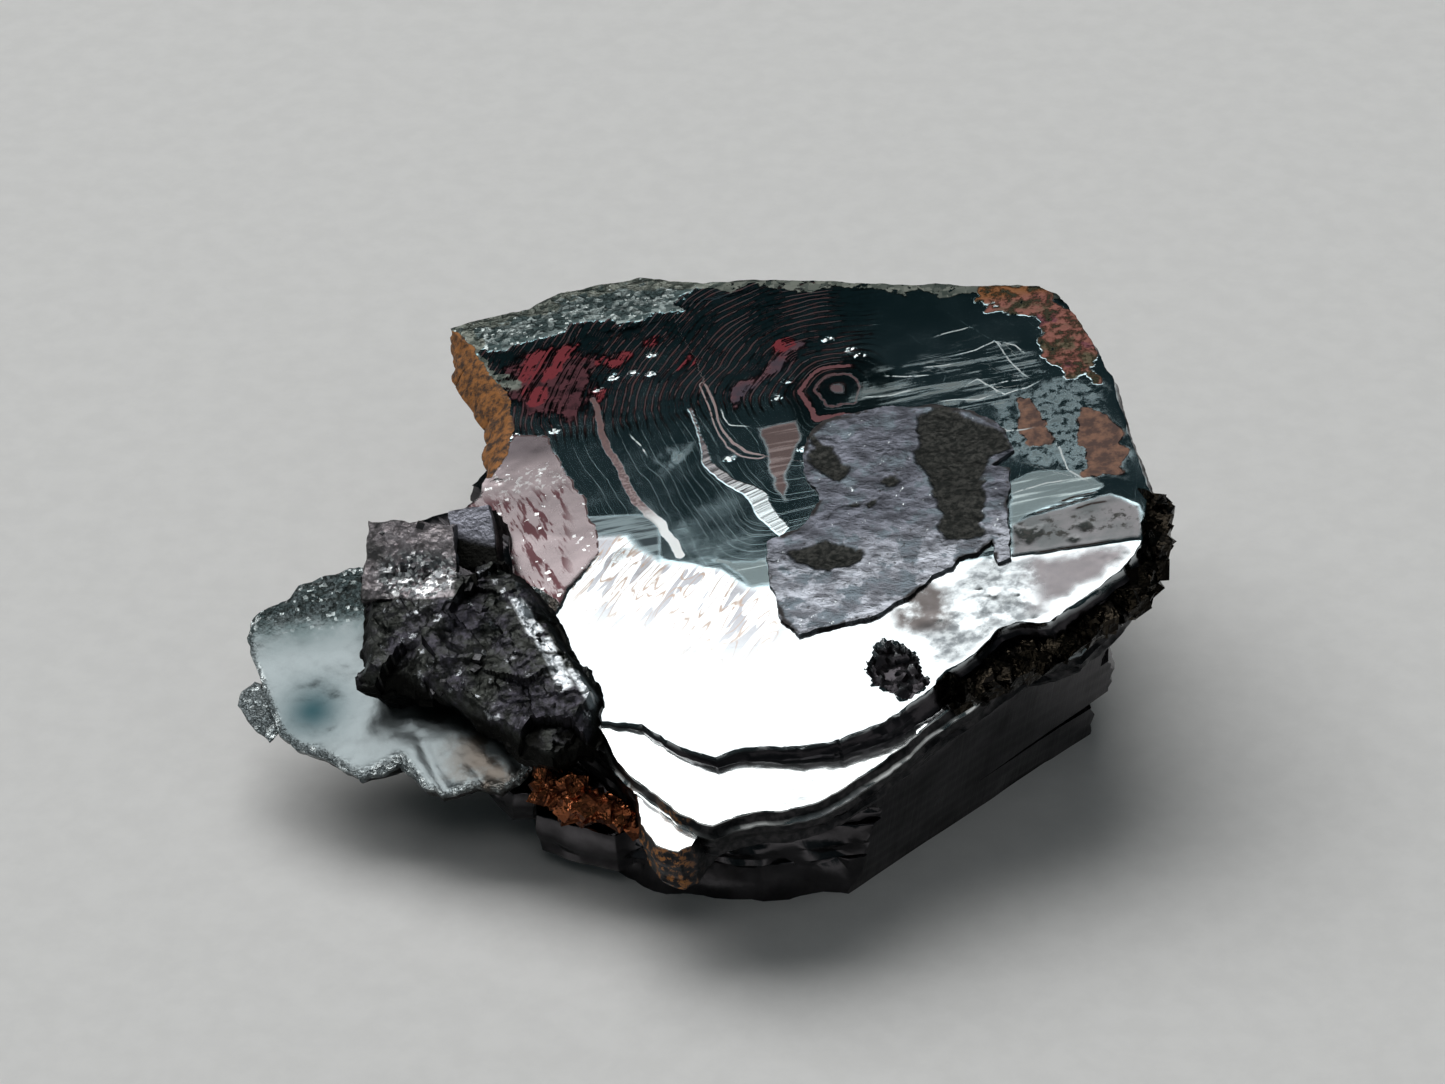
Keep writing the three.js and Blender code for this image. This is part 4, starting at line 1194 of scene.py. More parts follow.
def lay_hazy_places(on, finish):
    """Hazy, silvery and brown places, the scarps and the specks; gives where the specks are."""
    _, colours = settings()
    finish.lay(on.both(on.haze, on.between(on.mottle, 0.38, 0.62)), (0.085, 0.11, 0.115), 0.32)
    crease = on.both(on.between(on.front, -1.0, -0.8), on.between(on.u, -1.5, -1.7), on.on_face)
    glassy = on.blend(on.between(on.streaky, 0.44, 0.56), (0.03, 0.04, 0.045), (0.15, 0.19, 0.2))
    finish.lay(crease, glassy, 0.3)
    crease = on.both(on.band(on.front, -0.3, 0.06, 0.03), on.between(on.u, 0.0, 0.3), on.on_face)
    finish.lay(crease, (0.16, 0.2, 0.205), 0.3)
    silvery = on.both(on.between(on.streaked, 0.0, 0.7), on.between(on.streaky, 0.45, 0.6))
    finish.lay(on.both(silvery, on.between(on.cloud, 0.34, 0.5)), (0.115, 0.135, 0.135), 0.3)
    pale_streak = on.blend(on.between(on.streaky, 0.5, 0.65), (0.13, 0.165, 0.17), (0.34, 0.4, 0.4))
    pinkish = on.blend(on.between(on.streaky, 0.5, 0.62), (0.085, 0.062, 0.06), (0.17, 0.135, 0.13))
    finish.lay(on.silver, on.blend(on.between(on.v, 10.6, 11.4), pale_streak, pinkish), 0.27)
    brown_tint = on.blend(on.between(on.mottle, 0.4, 0.65), (0.06, 0.04, 0.035), tuple(colours.brown))
    finish.stain(on.both(on.brown, on.between(on.cloud, 0.2, 0.36)), brown_tint, 0.38)
    thin = on.both(on.band(on.scarp_gap, 0.0, 0.012, 0.03), on.scarp_ends,
                   on.between(on.mottle, 0.36, 0.5))
    finish.lay(thin, (0.34, 0.37, 0.37), 0.3)
    specked = on.both(on.between(on.specks, 0.3, 0.7), on.between(on.dust["Number"], 0.45, 0.7))
    finish.lay(specked, (0.7, 0.76, 0.76), 0.3)
    return specked


def lay_front(on, finish):
    """The front: outlines like flames, drawn out towards the viewer."""
    drawn = on.mapped(on.spot, (5, 1, 3), (0, 0, 57))
    flame = on.noise(drawn, 1.7, 2.0, 0.5)
    flames = on.both(on.between(on.front, -0.1, 0.3), on.between(on.front, 4.6, 1.2))
    flames = on.both(flames, on.between(on.u, 3.6, 1.0))
    finish.lay(on.both(on.between(flame, 0.55, 0.57), flames), (0.23, 0.235, 0.25), 0.12)
    contours = use(on, growth_lines, Level=on.noise(drawn, 1.3, 1.0, 0.5), Wander=0.0, Density=11.0,
                   Width=0.16)
    finish.lay(on.both(contours["Line"], flames, on.between(on.mottle, 0.35, 0.5)),
               (0.25, 0.195, 0.16), 0.15)


def lay_terrace(on, finish):
    """The left terrace: pale, with dark red flecks in rows and a brown edge."""
    _, colours = settings()
    pale = on.blend(on.between(on.v, 15.6, 14.4), (0.10, 0.085, 0.09), tuple(colours.terrace))
    pale = on.blend(on.both(on.band(on.v, 14.0, 0.4, 0.3), on.between(on.dust["Number"], 0.75, 0.9)),
                    pale, (0.36, 0.35, 0.35))
    finish.lay(on.between(on.terrace, 0.3, 0.6), pale, on.between(on.cloud, 0.3, 0.7, 0.22, 0.3))
    finish.lay(on.both(on.band(on.terrace, 0.45, 0.15, 0.1), on.between(on.mottle, 0.4, 0.5)),
               (0.05, 0.03, 0.03), 0.3)
    fleck = on.noise(on.mapped(on.spot, (2.6, 0.5, 1), (0, 0, -69)), 1.5, 4.0, 0.62)
    rows = on.both(on.between(on.v, 13.9, 13.0), on.between(on.u, -4.2, -4.8),
                   on.between(fleck, 0.51, 0.57))
    finish.lay(on.both(rows, on.between(on.terrace, 0.6, 0.8)), (0.075, 0.034, 0.038), 0.3)
    glitter = on.both(on.between(on.dust["Number"], 0.97, 0.985), on.between(fleck, 0.46, 0.5))
    finish.lay(on.both(glitter, on.terrace, on.between(on.v, 15.6, 14.4)), (0.75, 0.78, 0.78), 0.3)


def lay_hammered_and_kite(on, finish):
    """The hammered place, smoky on its left, and the kite with its dark lines and windows."""
    dull = on.blend(on.between(on.mottle, 0.4, 0.62), (0.14, 0.155, 0.165), (0.4, 0.43, 0.44))
    dull = on.blend(on.between(on.u, 9.2, 10.2), dull,
                    on.blend(on.mottle, (0.13, 0.128, 0.135), (0.22, 0.2, 0.205)))
    smoky = on.both(on.between(on.u, 7.6, 6.9), on.between(on.v, 3.6, 4.4))
    dull = on.blend(smoky, dull, on.blend(on.mottle, (0.06, 0.05, 0.045), (0.14, 0.13, 0.13)))
    cover = on.math("MAXIMUM", on.between(on.cloud, 0.34, 0.54), on.between(on.u, 9.4, 10.4))
    finish.lay(on.both(on.hammered, cover), dull, 0.3)
    kite_tint = on.blend(on.between(on.cloud, 0.35, 0.65), (0.10, 0.108, 0.11), (0.165, 0.16, 0.165))
    finish.lay(on.kite, kite_tint, 0.3)
    windows = on.both(on.holes, on.between(on.mottle, 0.36, 0.5))
    finish.lay(windows, (0.02, 0.023, 0.022), 0.35)
    smoke = on.both(on.kite, on.band(on.v, 7.75, 0.35, 0.3), on.between(on.mottle, 0.5, 0.62))
    finish.lay(smoke, (0.035, 0.035, 0.033), 0.3)
    thin = on.both(on.band(on.kite_line, 0.0, 0.025, 0.04), on.between(on.cloud, 0.3, 0.4))
    finish.lay(thin, (0.018, 0.01, 0.007), 0.4)


def lay_crusts(on, finish):
    """The gritty back corner and rim, the pit, painted shade on the sides and the rust; gives where the
    rust is.
    """
    _, colours = settings()
    flecked = on.blend(on.between(on.grit["Number"], 0.4, 0.9), (0.035, 0.05, 0.05), (0.17, 0.2, 0.195))
    flecked = on.blend(on.between(on.dust["Number"], 0.9, 0.96), flecked, (0.36, 0.4, 0.39))
    finish.stain(on.between(on.corner, 0.02, 0.25), flecked, 0.42)
    mossy = on.blend(on.grit["Number"], (0.03, 0.04, 0.035), (0.14, 0.15, 0.13))
    finish.stain(on.both(on.rim, on.between(on.mottle, 0.38, 0.5)), mossy, 0.42)
    # painted shade: the sides of the big crystal darkened towards black
    finish.lay(on.side, on.blend(on.mottle, (0.025, 0.023, 0.026), (0.06, 0.055, 0.06)), 0.3)
    finish.lay(on.pit, on.blend(on.grit["Number"], (0.26, 0.25, 0.25), (0.95, 0.95, 0.96)), 0.35)
    rust = use(on, rust_bloom, Vector=on.spot, Amount=on.rusty, Scale=1.6, Colour=tuple(colours.rust),
               Shade=(0.035, 0.018, 0.01, 1))
    finish.lay(rust["Mask"], rust["Color"], 0.7, 0.15)
    crusty = on.both(on.between(on.orange, 0.1, 0.5), on.between(on.mottle, 0.4, 0.54))
    orange_tint = on.blend(on.between(on.cloud, 0.4, 0.52), (0.09, 0.075, 0.035), (0.26, 0.09, 0.065))
    orange_tint = on.blend(on.between(on.cloud, 0.56, 0.62), orange_tint, (0.17, 0.045, 0.055))
    orange_tint = on.blend(on.between(on.v, 19.2, 19.8), orange_tint, (0.24, 0.085, 0.018))
    olive = on.both(on.between(on.orange, 0.1, 0.6), on.between(on.mottle, 0.3, 0.42))
    finish.stain(olive, (0.035, 0.035, 0.022), 0.5)
    finish.lay(crusty, orange_tint, 0.6, 0.3)
    return on.math("MAXIMUM", rust["Mask"], crusty)


def mirror_material():
    """The big face: mirror steel with frosted growth lines, tarnish, flecks and an ochre crust."""
    material, wires, shader = new_material("mirror_hematite")
    on = BigFace(wires.tree)
    finish = clear_mirror(on)
    lines, hairs = lay_growth_lines(on, finish)
    lay_tarnish(on, finish, hairs)
    on_band = lay_large_steps(on, finish)
    specked = lay_hazy_places(on, finish)
    lay_front(on, finish)
    lay_terrace(on, finish)
    lay_hammered_and_kite(on, finish)
    crusted = lay_crusts(on, finish)
    finish.feed(shader)

    smooth_part = on.math("SUBTRACT", 1.0, on.math("MAXIMUM", on.corner, on.pit))
    normal = on.bump(on.math("ADD", lines["Height"], hairs["Height"]), 0.0002, 1.0)
    normal = on.bump(on.both(on.streaky, smooth_part), 0.0006, 1.0, normal)
    uneven = on.math("MAXIMUM", on.both(on.corner, on.grit["Height"]), on.both(on.pit, on.grit["Height"]))
    uneven = on.math("MAXIMUM", uneven, on.both(specked, 0.5, on.grit["Height"]))
    uneven = on.math("MAXIMUM", uneven, on.both(crusted, on.mottle))
    normal = on.bump(uneven, 0.08, 0.9, normal)
    normal = on.bump(on.both(on_band, on.across), 0.02, 0.8, normal)
    on.feed(shader.inputs["Normal"], on.bump(on.both(on.side, on.fine), 0.02, 0.5, normal))
    return material


def keel_material():
    """Hematite of the plates underneath: ruled, smeared, with a little rust in its hollows."""
    _, colours = settings()
    material, wires, shader = new_material("dark_hematite")
    spot = in_millimetres(wires)
    ruled = use(wires, striations, Vector=spot, Turn=(0, 0, math.radians(45)), Scale=3.0)
    grit = use(wires, sparkle, Vector=spot, Scale=2.2)
    rust = use(wires, rust_bloom, Vector=spot, Amount=0.3, Scale=0.9, Colour=tuple(colours.rust))
    smear = wires.noise(spot, 0.6, 6.0, 0.62)
    shade = tuple(0.6 * channel for channel in colours.dark)
    pale = tuple(1.44 * channel for channel in colours.dark)
    colour = wires.blend(wires.between(smear, 0.3, 0.7), shade, pale)
    wires.feed(shader.inputs["Base Color"], wires.blend(rust["Mask"], colour, rust["Color"]))
    wires.feed(shader.inputs["Metallic"], wires.math("SUBTRACT", 1.0, rust["Mask"], clamp=True))
    gloss = wires.between(smear, 0.3, 0.75, 0.14, 0.28)
    wires.feed(shader.inputs["Roughness"],
               wires.math("MULTIPLY_ADD", rust["Mask"], 0.5, gloss, clamp=True))
    normal = wires.bump(ruled["Height"], 0.03, 0.8)
    normal = wires.bump(wires.math("MULTIPLY", grit["Height"], 0.4), 0.03, 0.35, normal)
    wires.feed(shader.inputs["Normal"], normal)
    return material


def edge_material():
    """The second and third plates: a painted highlight on top, painted shade down their sides, rusty by
    the front.
    """
    _, colours = settings()
    material, wires, shader = new_material("edge_hematite")
    spot = in_millimetres(wires)
    top, rusty, _ = wires.parts(wires.attribute("places"))
    ruled = use(wires, striations, Vector=spot, Turn=(0, 0, math.radians(20)), Scale=2.2)
    smear = wires.noise(spot, 0.6, 6.0, 0.62)
    fine = wires.noise(spot, 4.0, 5.0, 0.65)
    # painted shade for the sides and a painted highlight for the tops, blended by where the top is
    shaded = wires.blend(wires.between(fine, 0.35, 0.65), (0.012, 0.013, 0.014), (0.04, 0.038, 0.04))
    bright = wires.blend(wires.between(smear, 0.3, 0.55), (0.5, 0.53, 0.54), (0.85, 0.88, 0.88))
    finish = Layers(wires, wires.blend(top, shaded, bright), wires.mix(top, 0.38, 0.14))
    stain = wires.math("MULTIPLY", rusty, wires.between(fine, 0.5, 0.6))
    finish.lay(wires.math("MULTIPLY", stain, wires.math("SUBTRACT", 1.2, top, clamp=True)),
               tuple(colours.rust), 0.6, 0.3)
    finish.feed(shader)
    wires.feed(shader.inputs["Normal"], wires.bump(ruled["Height"], 0.012, 0.5))
    return material


def granular_material(name, dark, light, rust_amount):
    """Crowded small crystals, each a little lighter or darker than the next."""
    _, colours = settings()
    material, wires, shader = new_material(name)
    spot = in_millimetres(wires)
    grit = use(wires, sparkle, Vector=spot, Scale=3.2)
    rust = use(wires, rust_bloom, Vector=spot, Amount=rust_amount, Scale=1.1,
               Colour=tuple(colours.rust))
    colour = wires.blend(grit["Number"], dark, light)
    wires.feed(shader.inputs["Base Color"], wires.blend(rust["Mask"], colour, rust["Color"]))
    wires.feed(shader.inputs["Metallic"], wires.math("SUBTRACT", 1.0, rust["Mask"], clamp=True))
    gloss = wires.between(grit["Number"], 0.0, 1.0, 0.42, 0.16)
    wires.feed(shader.inputs["Roughness"],
               wires.math("MULTIPLY_ADD", rust["Mask"], 0.45, gloss, clamp=True))
    wires.feed(shader.inputs["Normal"], wires.bump(grit["Height"], 0.1, 0.7))
    return material


def film_material():
    """The dull later film: slate purple, wrinkled, with near-black sunken windows."""
    _, colours = settings()
    material, wires, shader = new_material("later_film")
    spot = wires.attribute("spot")
    v = wires.parts(spot)[1]
    window, side, torn = wires.parts(wires.attribute("window"))
    cloud = wires.noise(spot, 0.9, 6.0, 0.65)
    wrinkles = wires.noise(wires.mapped(spot, (1.3, 0.8, 1), (0, 0, -20)), 1.6, 6.0, 0.68)
    fine = wires.noise(spot, 6.0, 4.0, 0.7)
    low = wires.between(v, 9.6, 6.6)
    pale = wires.blend(low, tuple(1.3 * c for c in colours.film), (0.36, 0.38, 0.42))
    dim = wires.blend(low, tuple(0.45 * c for c in colours.film), (0.11, 0.115, 0.13))
    pale = wires.blend(wires.between(cloud, 0.5, 0.56), pale, (0.12, 0.145, 0.165))
    finish = Layers(wires, wires.blend(wires.between(wrinkles, 0.36, 0.64), dim, pale),
                    wires.between(cloud, 0.3, 0.7, 0.28, 0.42))
    speck = wires.between(wires.noise(spot, 3.4, 5.0, 0.7), 0.6, 0.66)
    finish.lay(wires.math("MULTIPLY", speck, 0.7), (0.035, 0.035, 0.036))
    flecks = wires.noise(wires.mapped(spot, (2, 1, 1), (40, 0, 70)), 4.2, 4.0, 0.75)
    finish.lay(wires.between(flecks, 0.66, 0.7), (0.6, 0.65, 0.66), 0.3)
    finish.lay(wires.math("MULTIPLY", torn, wires.between(cloud, 0.44, 0.54)), (0.03, 0.028, 0.028), 0.5)
    sunken = wires.blend(wires.between(fine, 0.4, 0.62), (0.012, 0.013, 0.012), (0.035, 0.035, 0.032))
    finish.lay(window, sunken, 0.48)
    finish.lay(side, (0.05, 0.045, 0.048), 0.5)
    finish.feed(shader)
    normal = wires.bump(wrinkles, 0.08, 0.8)
    normal = wires.bump(fine, 0.02, 0.6, normal)
    wires.feed(shader.inputs["Normal"], normal)
    return material


def wing_material():
    """The silvery plate: cloudy pale steel with a dark dimple, gritty and dim at its back, with painted
    shade on its sides and a brownish painted shadow of the block.
    """
    _, colours = settings()
    material, wires, shader = new_material("silvery_hematite")
    spot = wires.attribute("spot")
    u, v, _ = wires.parts(spot)
    dimple, under, rim = wires.parts(wires.attribute("places"))
    grit = use(wires, sparkle, Vector=spot, Scale=8.0)
    cloud = wires.noise(spot, 0.8, 6.0, 0.62)
    veins = wires.noise(spot, 1.5, 6.0, 0.7, noise_type="RIDGED_MULTIFRACTAL")

    dim = tuple(0.72 * channel for channel in colours.wing)
    finish = Layers(wires, wires.blend(wires.between(cloud, 0.3, 0.62), dim, tuple(colours.wing)),
                    wires.between(cloud, 0.25, 0.75, 0.28, 0.42))
    finish.lay(wires.both(wires.between(v, 0.9, 2.6), wires.between(cloud, 0.25, 0.6)),
               (0.06, 0.083, 0.085), 0.4)
    # painted shadow of the block: brownish darkening on the plate beside it
    finish.lay(wires.both(wires.between(u, 3.8, 5.6), wires.between(cloud, 0.62, 0.4)),
               (0.085, 0.075, 0.065))
    finish.lay(wires.both(wires.between(veins, 0.5, 0.9), wires.between(u, -1.5, 1.5)),
               (0.3, 0.33, 0.34), 0.3)
    finish.lay(dimple, (0.016, 0.037, 0.043), 0.3)
    back = wires.between(v, 2.0, 3.2)
    finish.lay(wires.both(back, wires.between(grit["Number"], 0.3, 0.7)), (0.03, 0.037, 0.036), 0.4)
    finish.lay(wires.both(back, wires.between(grit["Number"], 0.92, 0.95)), (0.5, 0.56, 0.56), 0.3)
    finish.lay(wires.both(rim, wires.between(grit["Number"], 0.62, 0.8), wires.between(cloud, 0.46, 0.56)),
               (0.55, 0.6, 0.6), 0.25)
    # painted shade on the plate's sides and underside
    finish.lay(under, (0.022, 0.02, 0.018), 0.45)
    finish.feed(shader)
    normal = wires.bump(veins, 0.02, 0.5)
    normal = wires.bump(wires.both(grit["Height"], wires.math("MAXIMUM", back, rim)), 0.1, 0.7, normal)
    fine = wires.noise(spot, 7.0, 4.0, 0.6)
    wires.feed(shader.inputs["Normal"], wires.bump(fine, 0.02, 0.4, normal))
    return material


def block_material():
    """The dark block: soft broken lumps, bright facets by its rim, a crystal that sparkles, and painted
    shade under its overhang.
    """
    material, wires, shader = new_material("granular_hematite")
    spot = wires.attribute("spot")
    under, glint, hollow = wires.parts(wires.attribute("places"))
    cube, ruled, grain = wires.parts(wires.attribute("crystals"))
    grit = use(wires, sparkle, Vector=spot, Scale=3.6)
    dust = use(wires, sparkle, Vector=spot, Scale=8.0)
    cloud = wires.noise(spot, 0.9, 6.0, 0.62)
    fine = wires.noise(spot, 5.0, 5.0, 0.7)

    warm = wires.blend(wires.between(cloud, 0.42, 0.58), (0.07, 0.075, 0.068), (0.085, 0.08, 0.10))
    finish = Layers(wires, wires.blend(wires.between(fine, 0.3, 0.7), (0.022, 0.023, 0.021), warm),
                    wires.between(cloud, 0.3, 0.7, 0.3, 0.48))
    finish.lay(wires.between(cloud, 0.46, 0.34), (0.018, 0.019, 0.017), 0.42)
    finish.lay(wires.both(wires.between(grit["Number"], 0.9, 0.95), wires.between(fine, 0.5, 0.6)),
               (0.4, 0.42, 0.44), 0.25)
    face = wires.blend(wires.between(fine, 0.3, 0.7), (0.22, 0.195, 0.2), (0.55, 0.5, 0.52))
    finish.lay(cube, wires.blend(wires.between(cloud, 0.35, 0.55), (0.13, 0.125, 0.125), face), 0.36)
    bright = wires.blend(wires.between(dust["Number"], 0.6, 0.8), (0.25, 0.26, 0.27), (0.95, 0.97, 0.97))
    finish.lay(wires.both(hollow, wires.between(dust["Number"], 0.2, 0.4)), bright, 0.3)
    finish.lay(ruled, (0.22, 0.225, 0.26), 0.35)
    finish.lay(wires.both(glint, wires.between(fine, 0.3, 0.44)), (0.75, 0.79, 0.82), 0.3)
    # painted shade: the undercut sides under the block's overhang made near-black
    finish.lay(under, (0.01, 0.01, 0.009), 0.5)
    finish.lay(grain, wires.blend(grit["Number"], (0.02, 0.02, 0.02), (0.12, 0.12, 0.125)), 0.3)
    finish.feed(shader)
    normal = wires.bump(fine, 0.06, 0.8)
    wires.feed(shader.inputs["Normal"], wires.bump(grit["Height"], 0.06, 0.5, normal))
    return material


def floor_material():
    """Plain pale board with the faintest tooth."""
    _, colours = settings()
    material, wires, shader = new_material("pale_board")
    spot = in_millimetres(wires)
    tooth = wires.noise(spot, 0.9, 6.0, 0.6)
    darker = tuple(0.95 * channel for channel in colours.floor)
    wires.feed(shader.inputs["Base Color"],
               wires.blend(wires.between(tooth, 0.3, 0.7), darker, tuple(colours.floor)))
    shader.inputs["Roughness"].default_value = 0.85
    wires.feed(shader.inputs["Normal"], wires.bump(tooth, 0.04, 0.4))
    return material


# ------------------------------------------------------------------ strewn small crystals

def strewn_crystals(name):
    """Grows small blocky crystals over a surface, thickest where 'grains' is 1."""
    tree, wires, given = node_group(name, [
        ("Geometry", "Geometry", None), ("Spacing", "Float", 0.3 * MM),
        ("Smallest", "Float", 0.2 * MM), ("Largest", "Float", 0.6 * MM), ("Flatness", "Float", 0.6),
        ("Lean", "Float", 0.7), ("Seed", "Int", 1), ("Material", "Material", None)],
        [("Geometry", "Geometry")], kind="Geometry")
    grains = wires.add("GeometryNodeInputNamedAttribute", {"Name": "grains"}, data_type="FLOAT")
    strewn = wires.add("GeometryNodeDistributePointsOnFaces", {
        "Mesh": given["Geometry"], "Distance Min": given["Spacing"], "Density Max": 4e8,
        "Density Factor": grains.outputs["Attribute"], "Seed": given["Seed"]},
        distribute_method="POISSON")
    size = wires.add("ShaderNodeCombineXYZ", {"X": 1.0, "Y": 0.82, "Z": given["Flatness"]})
    block = wires.add("GeometryNodeMeshCube", {"Size": size.outputs[0]})
    height = wires.add("ShaderNodeSeparateXYZ", {
        "Vector": wires.add("GeometryNodeInputPosition").outputs[0]}).outputs[2]
    slant = wires.add("ShaderNodeCombineXYZ", {
        "X": wires.math("MULTIPLY", height, 0.35), "Y": wires.math("MULTIPLY", height, 0.22)})
    crystal = wires.add("GeometryNodeSetPosition", {
        "Geometry": block.outputs["Mesh"], "Offset": slant.outputs[0]})
    lean = given["Lean"]
    back = wires.math("MULTIPLY", lean, -1.0)
    turn = wires.add("FunctionNodeRandomValue", {"Seed": given["Seed"]}, data_type="FLOAT_VECTOR")
    low = wires.add("ShaderNodeCombineXYZ", {"X": back, "Y": back, "Z": 0.0})
    high = wires.add("ShaderNodeCombineXYZ", {"X": lean, "Y": lean, "Z": 2 * math.pi})
    wires.feed(turn.inputs[0], low.outputs[0])
    wires.feed(turn.inputs[1], high.outputs[0])
    own = wires.add("FunctionNodeEulerToRotation", {"Euler": turn.outputs["Value"]})
    stand = wires.add("FunctionNodeRotateRotation", {
        "Rotation": strewn.outputs["Rotation"], "Rotate By": own.outputs["Rotation"]},
        rotation_space="LOCAL")
    scale = wires.add("FunctionNodeRandomValue", {"Seed": 7}, data_type="FLOAT")
    wires.feed(scale.inputs[2], given["Smallest"])
    wires.feed(scale.inputs[3], given["Largest"])
    copies = wires.add("GeometryNodeInstanceOnPoints", {
        "Points": strewn.outputs["Points"], "Instance": crystal.outputs["Geometry"],
        "Rotation": stand.outputs["Rotation"], "Scale": scale.outputs[1]})
    real = wires.add("GeometryNodeRealizeInstances", {"Geometry": copies.outputs["Instances"]})
    dressed = wires.add("GeometryNodeSetMaterial", {
        "Geometry": real.outputs["Geometry"], "Material": given["Material"]})
    out = wires.add("NodeGroupOutput")
    wires.feed(out.inputs["Geometry"], dressed.outputs["Geometry"])
    return tree


def strewn_over(name, ground, amount, material, **values):
    """A mesh of small crystals on a ground mesh; amount gives each of its vertices 0 to 1."""
    attribute = ground.attributes.new("grains", "FLOAT", "POINT")
    attribute.data.foreach_set("value", np.asarray(amount, np.float32))
    holder = holder_of(ground)
    modifier = holder.modifiers.new("strew", "NODES")
    modifier.node_group = shared(strewn_crystals)
    values["Material"] = material
    for socket in modifier.node_group.interface.items_tree:
        if socket.in_out == "INPUT" and socket.name in values:
            modifier[socket.identifier] = values[socket.name]
    mesh = applied(holder)
    mesh.name = name
    if not mesh.polygons:
        raise RuntimeError(name + " has no crystals")
    return mesh


# ------------------------------------------------------------------ the pieces

def record_big_face(mesh):
    """Stores where the big face has each kind of surface, for its material."""
    u, v, w = in_plane(vertices_of(mesh), FACE_PLANE).T
    mask = face_masks(u, v)
    wu, wv = warped(u, v)
    below = smooth(-w, 0.12, 0.3)
    top = 1 - below
    gaps = [beside(wu, wv, path) for path, _ in SCARPS]
    nearest = np.argmin([np.abs(gap) for gap, _ in gaps], axis=0)
    scarp_gap = np.choose(nearest, [gap for gap, _ in gaps])
    scarp_ends = np.choose(nearest, [ends for _, ends in gaps])
    kite_gaps = [beside(u, v, path) for path in KITE_LINES]
    kite_line = np.min([np.abs(gap) + 0.2 * (1 - ends) for gap, ends in kite_gaps], axis=0)
    flank = smooth(v, 14.1, 14.8) * smooth(-v, -23.2, -22.6) * smooth(-u, 5.7, 6.1)
    strip = np.maximum(mask["strip"] * top, flank * smooth(-w, 0.02, 0.08))
    record(mesh, "spot", u, v, w)
    record(mesh, "growth", growth_distance(wu, wv), mask["front"], kite_line)
    slope_gap = np.abs(beside(wu, wv, GREAT_SLOPE)[0])
    record(mesh, "steps", slope_gap, inside(wu, wv, BAND), beside(wu, wv, THIN_PAIR)[0])
    record(mesh, "scarps", scarp_gap, scarp_ends * top, mask["specks"] * top)
    record(mesh, "stain", mask["red"], mask["pink"], mask["brown"] * top)
    record(mesh, "streaked", mask["streaked"] * top, mask["rim"] * top, 0)
    # the third number is where the sides get painted shade
    record(mesh, "crust", strip, mask["pit"] * top, below * (1 - strip))
    record(mesh, "wear", mask["corner"] * top, mask["hammered"] * top, mask["haze"] * top)
    record(mesh, "facets", mask["kite"] * top, mask["silver"] * top, mask["terrace"] * top)
    record(mesh, "patches", mask["holes"] * top, mask["orange"] * top, 0)


def build_big_crystal():
    sizes, _ = settings()
    body = plate(FACE_OUTLINE, FACE_PLANE, face_relief, side_rings(FACE_THICKNESS, bevel=0.12, count=14),
                 in_mm(sizes.face_mesh), chips=0.07, sway=0.05, seed=1, swell=flank_swell)
    mesh = new_mesh("big_crystal", body)
    record_big_face(mesh)
    piece = place("big_crystal", mesh, mirror_material(), sharp=35)
    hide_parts(NODE)


def build_film():
    sizes, _ = settings()
    spacing = 0.7 * in_mm(sizes.face_mesh)
    body = plate(FILM_OUTLINE, FACE_PLANE, film_relief, [(0.05, 0.02, 1), (0.12, 0.03, 1), (0.2, 0, 1)],
                 spacing, chips=0.1, sway=0.02, seed=5)
    mesh = new_mesh("later_film", body)
    u, v, w = in_plane(vertices_of(mesh), FACE_PLANE).T
    window = np.max(film_windows(u, v), axis=0)
    under_top = growth_steps(u, v, FILM_STEP_WIDTHS) + in_mm(sizes.film) - w
    torn = smooth(0.08 + 0.5 * film_frays(u, v) - inside(u, v, FILM_OUTLINE), -0.04, 0.04)
    record(mesh, "spot", u, v, w)
    record(mesh, "window", window, smooth(under_top, 0.05, 0.1) * (1 - window), torn)
    place("later_film", mesh, film_material(), sharp=40)


def build_lower_plates():
    sizes, _ = settings()
    spacing = 0.6 * in_mm(sizes.plate_mesh)
    lip = plate(LIP_OUTLINE, LIP_PLANE, lip_relief, side_rings(LIP_THICKNESS), spacing,
                chips=0.06, seed=2)
    heel = plate(HEEL_OUTLINE, HEEL_PLANE, heel_relief, side_rings(HEEL_THICKNESS), spacing,
                 chips=0.06, seed=3)
    mesh = above_ground(combined("lower_plates", new_mesh("lip", lip), [new_mesh("heel", heel)]))
    # top is where the plates get their painted highlight; elsewhere their sides get painted shade
    top = 0
    for matrix, relief in ((LIP_PLANE, lip_relief), (HEEL_PLANE, heel_relief)):
        u, v, w = in_plane(vertices_of(mesh), matrix).T
        top = np.maximum(top, smooth(-np.abs(relief(u, v) - w), -0.06, -0.03))
    record(mesh, "places", top, smooth(-u, 0.6, 1.6) * smooth(-v, 0.3, 1.2), 0)
    place("lower_plates", mesh, edge_material(), sharp=35)


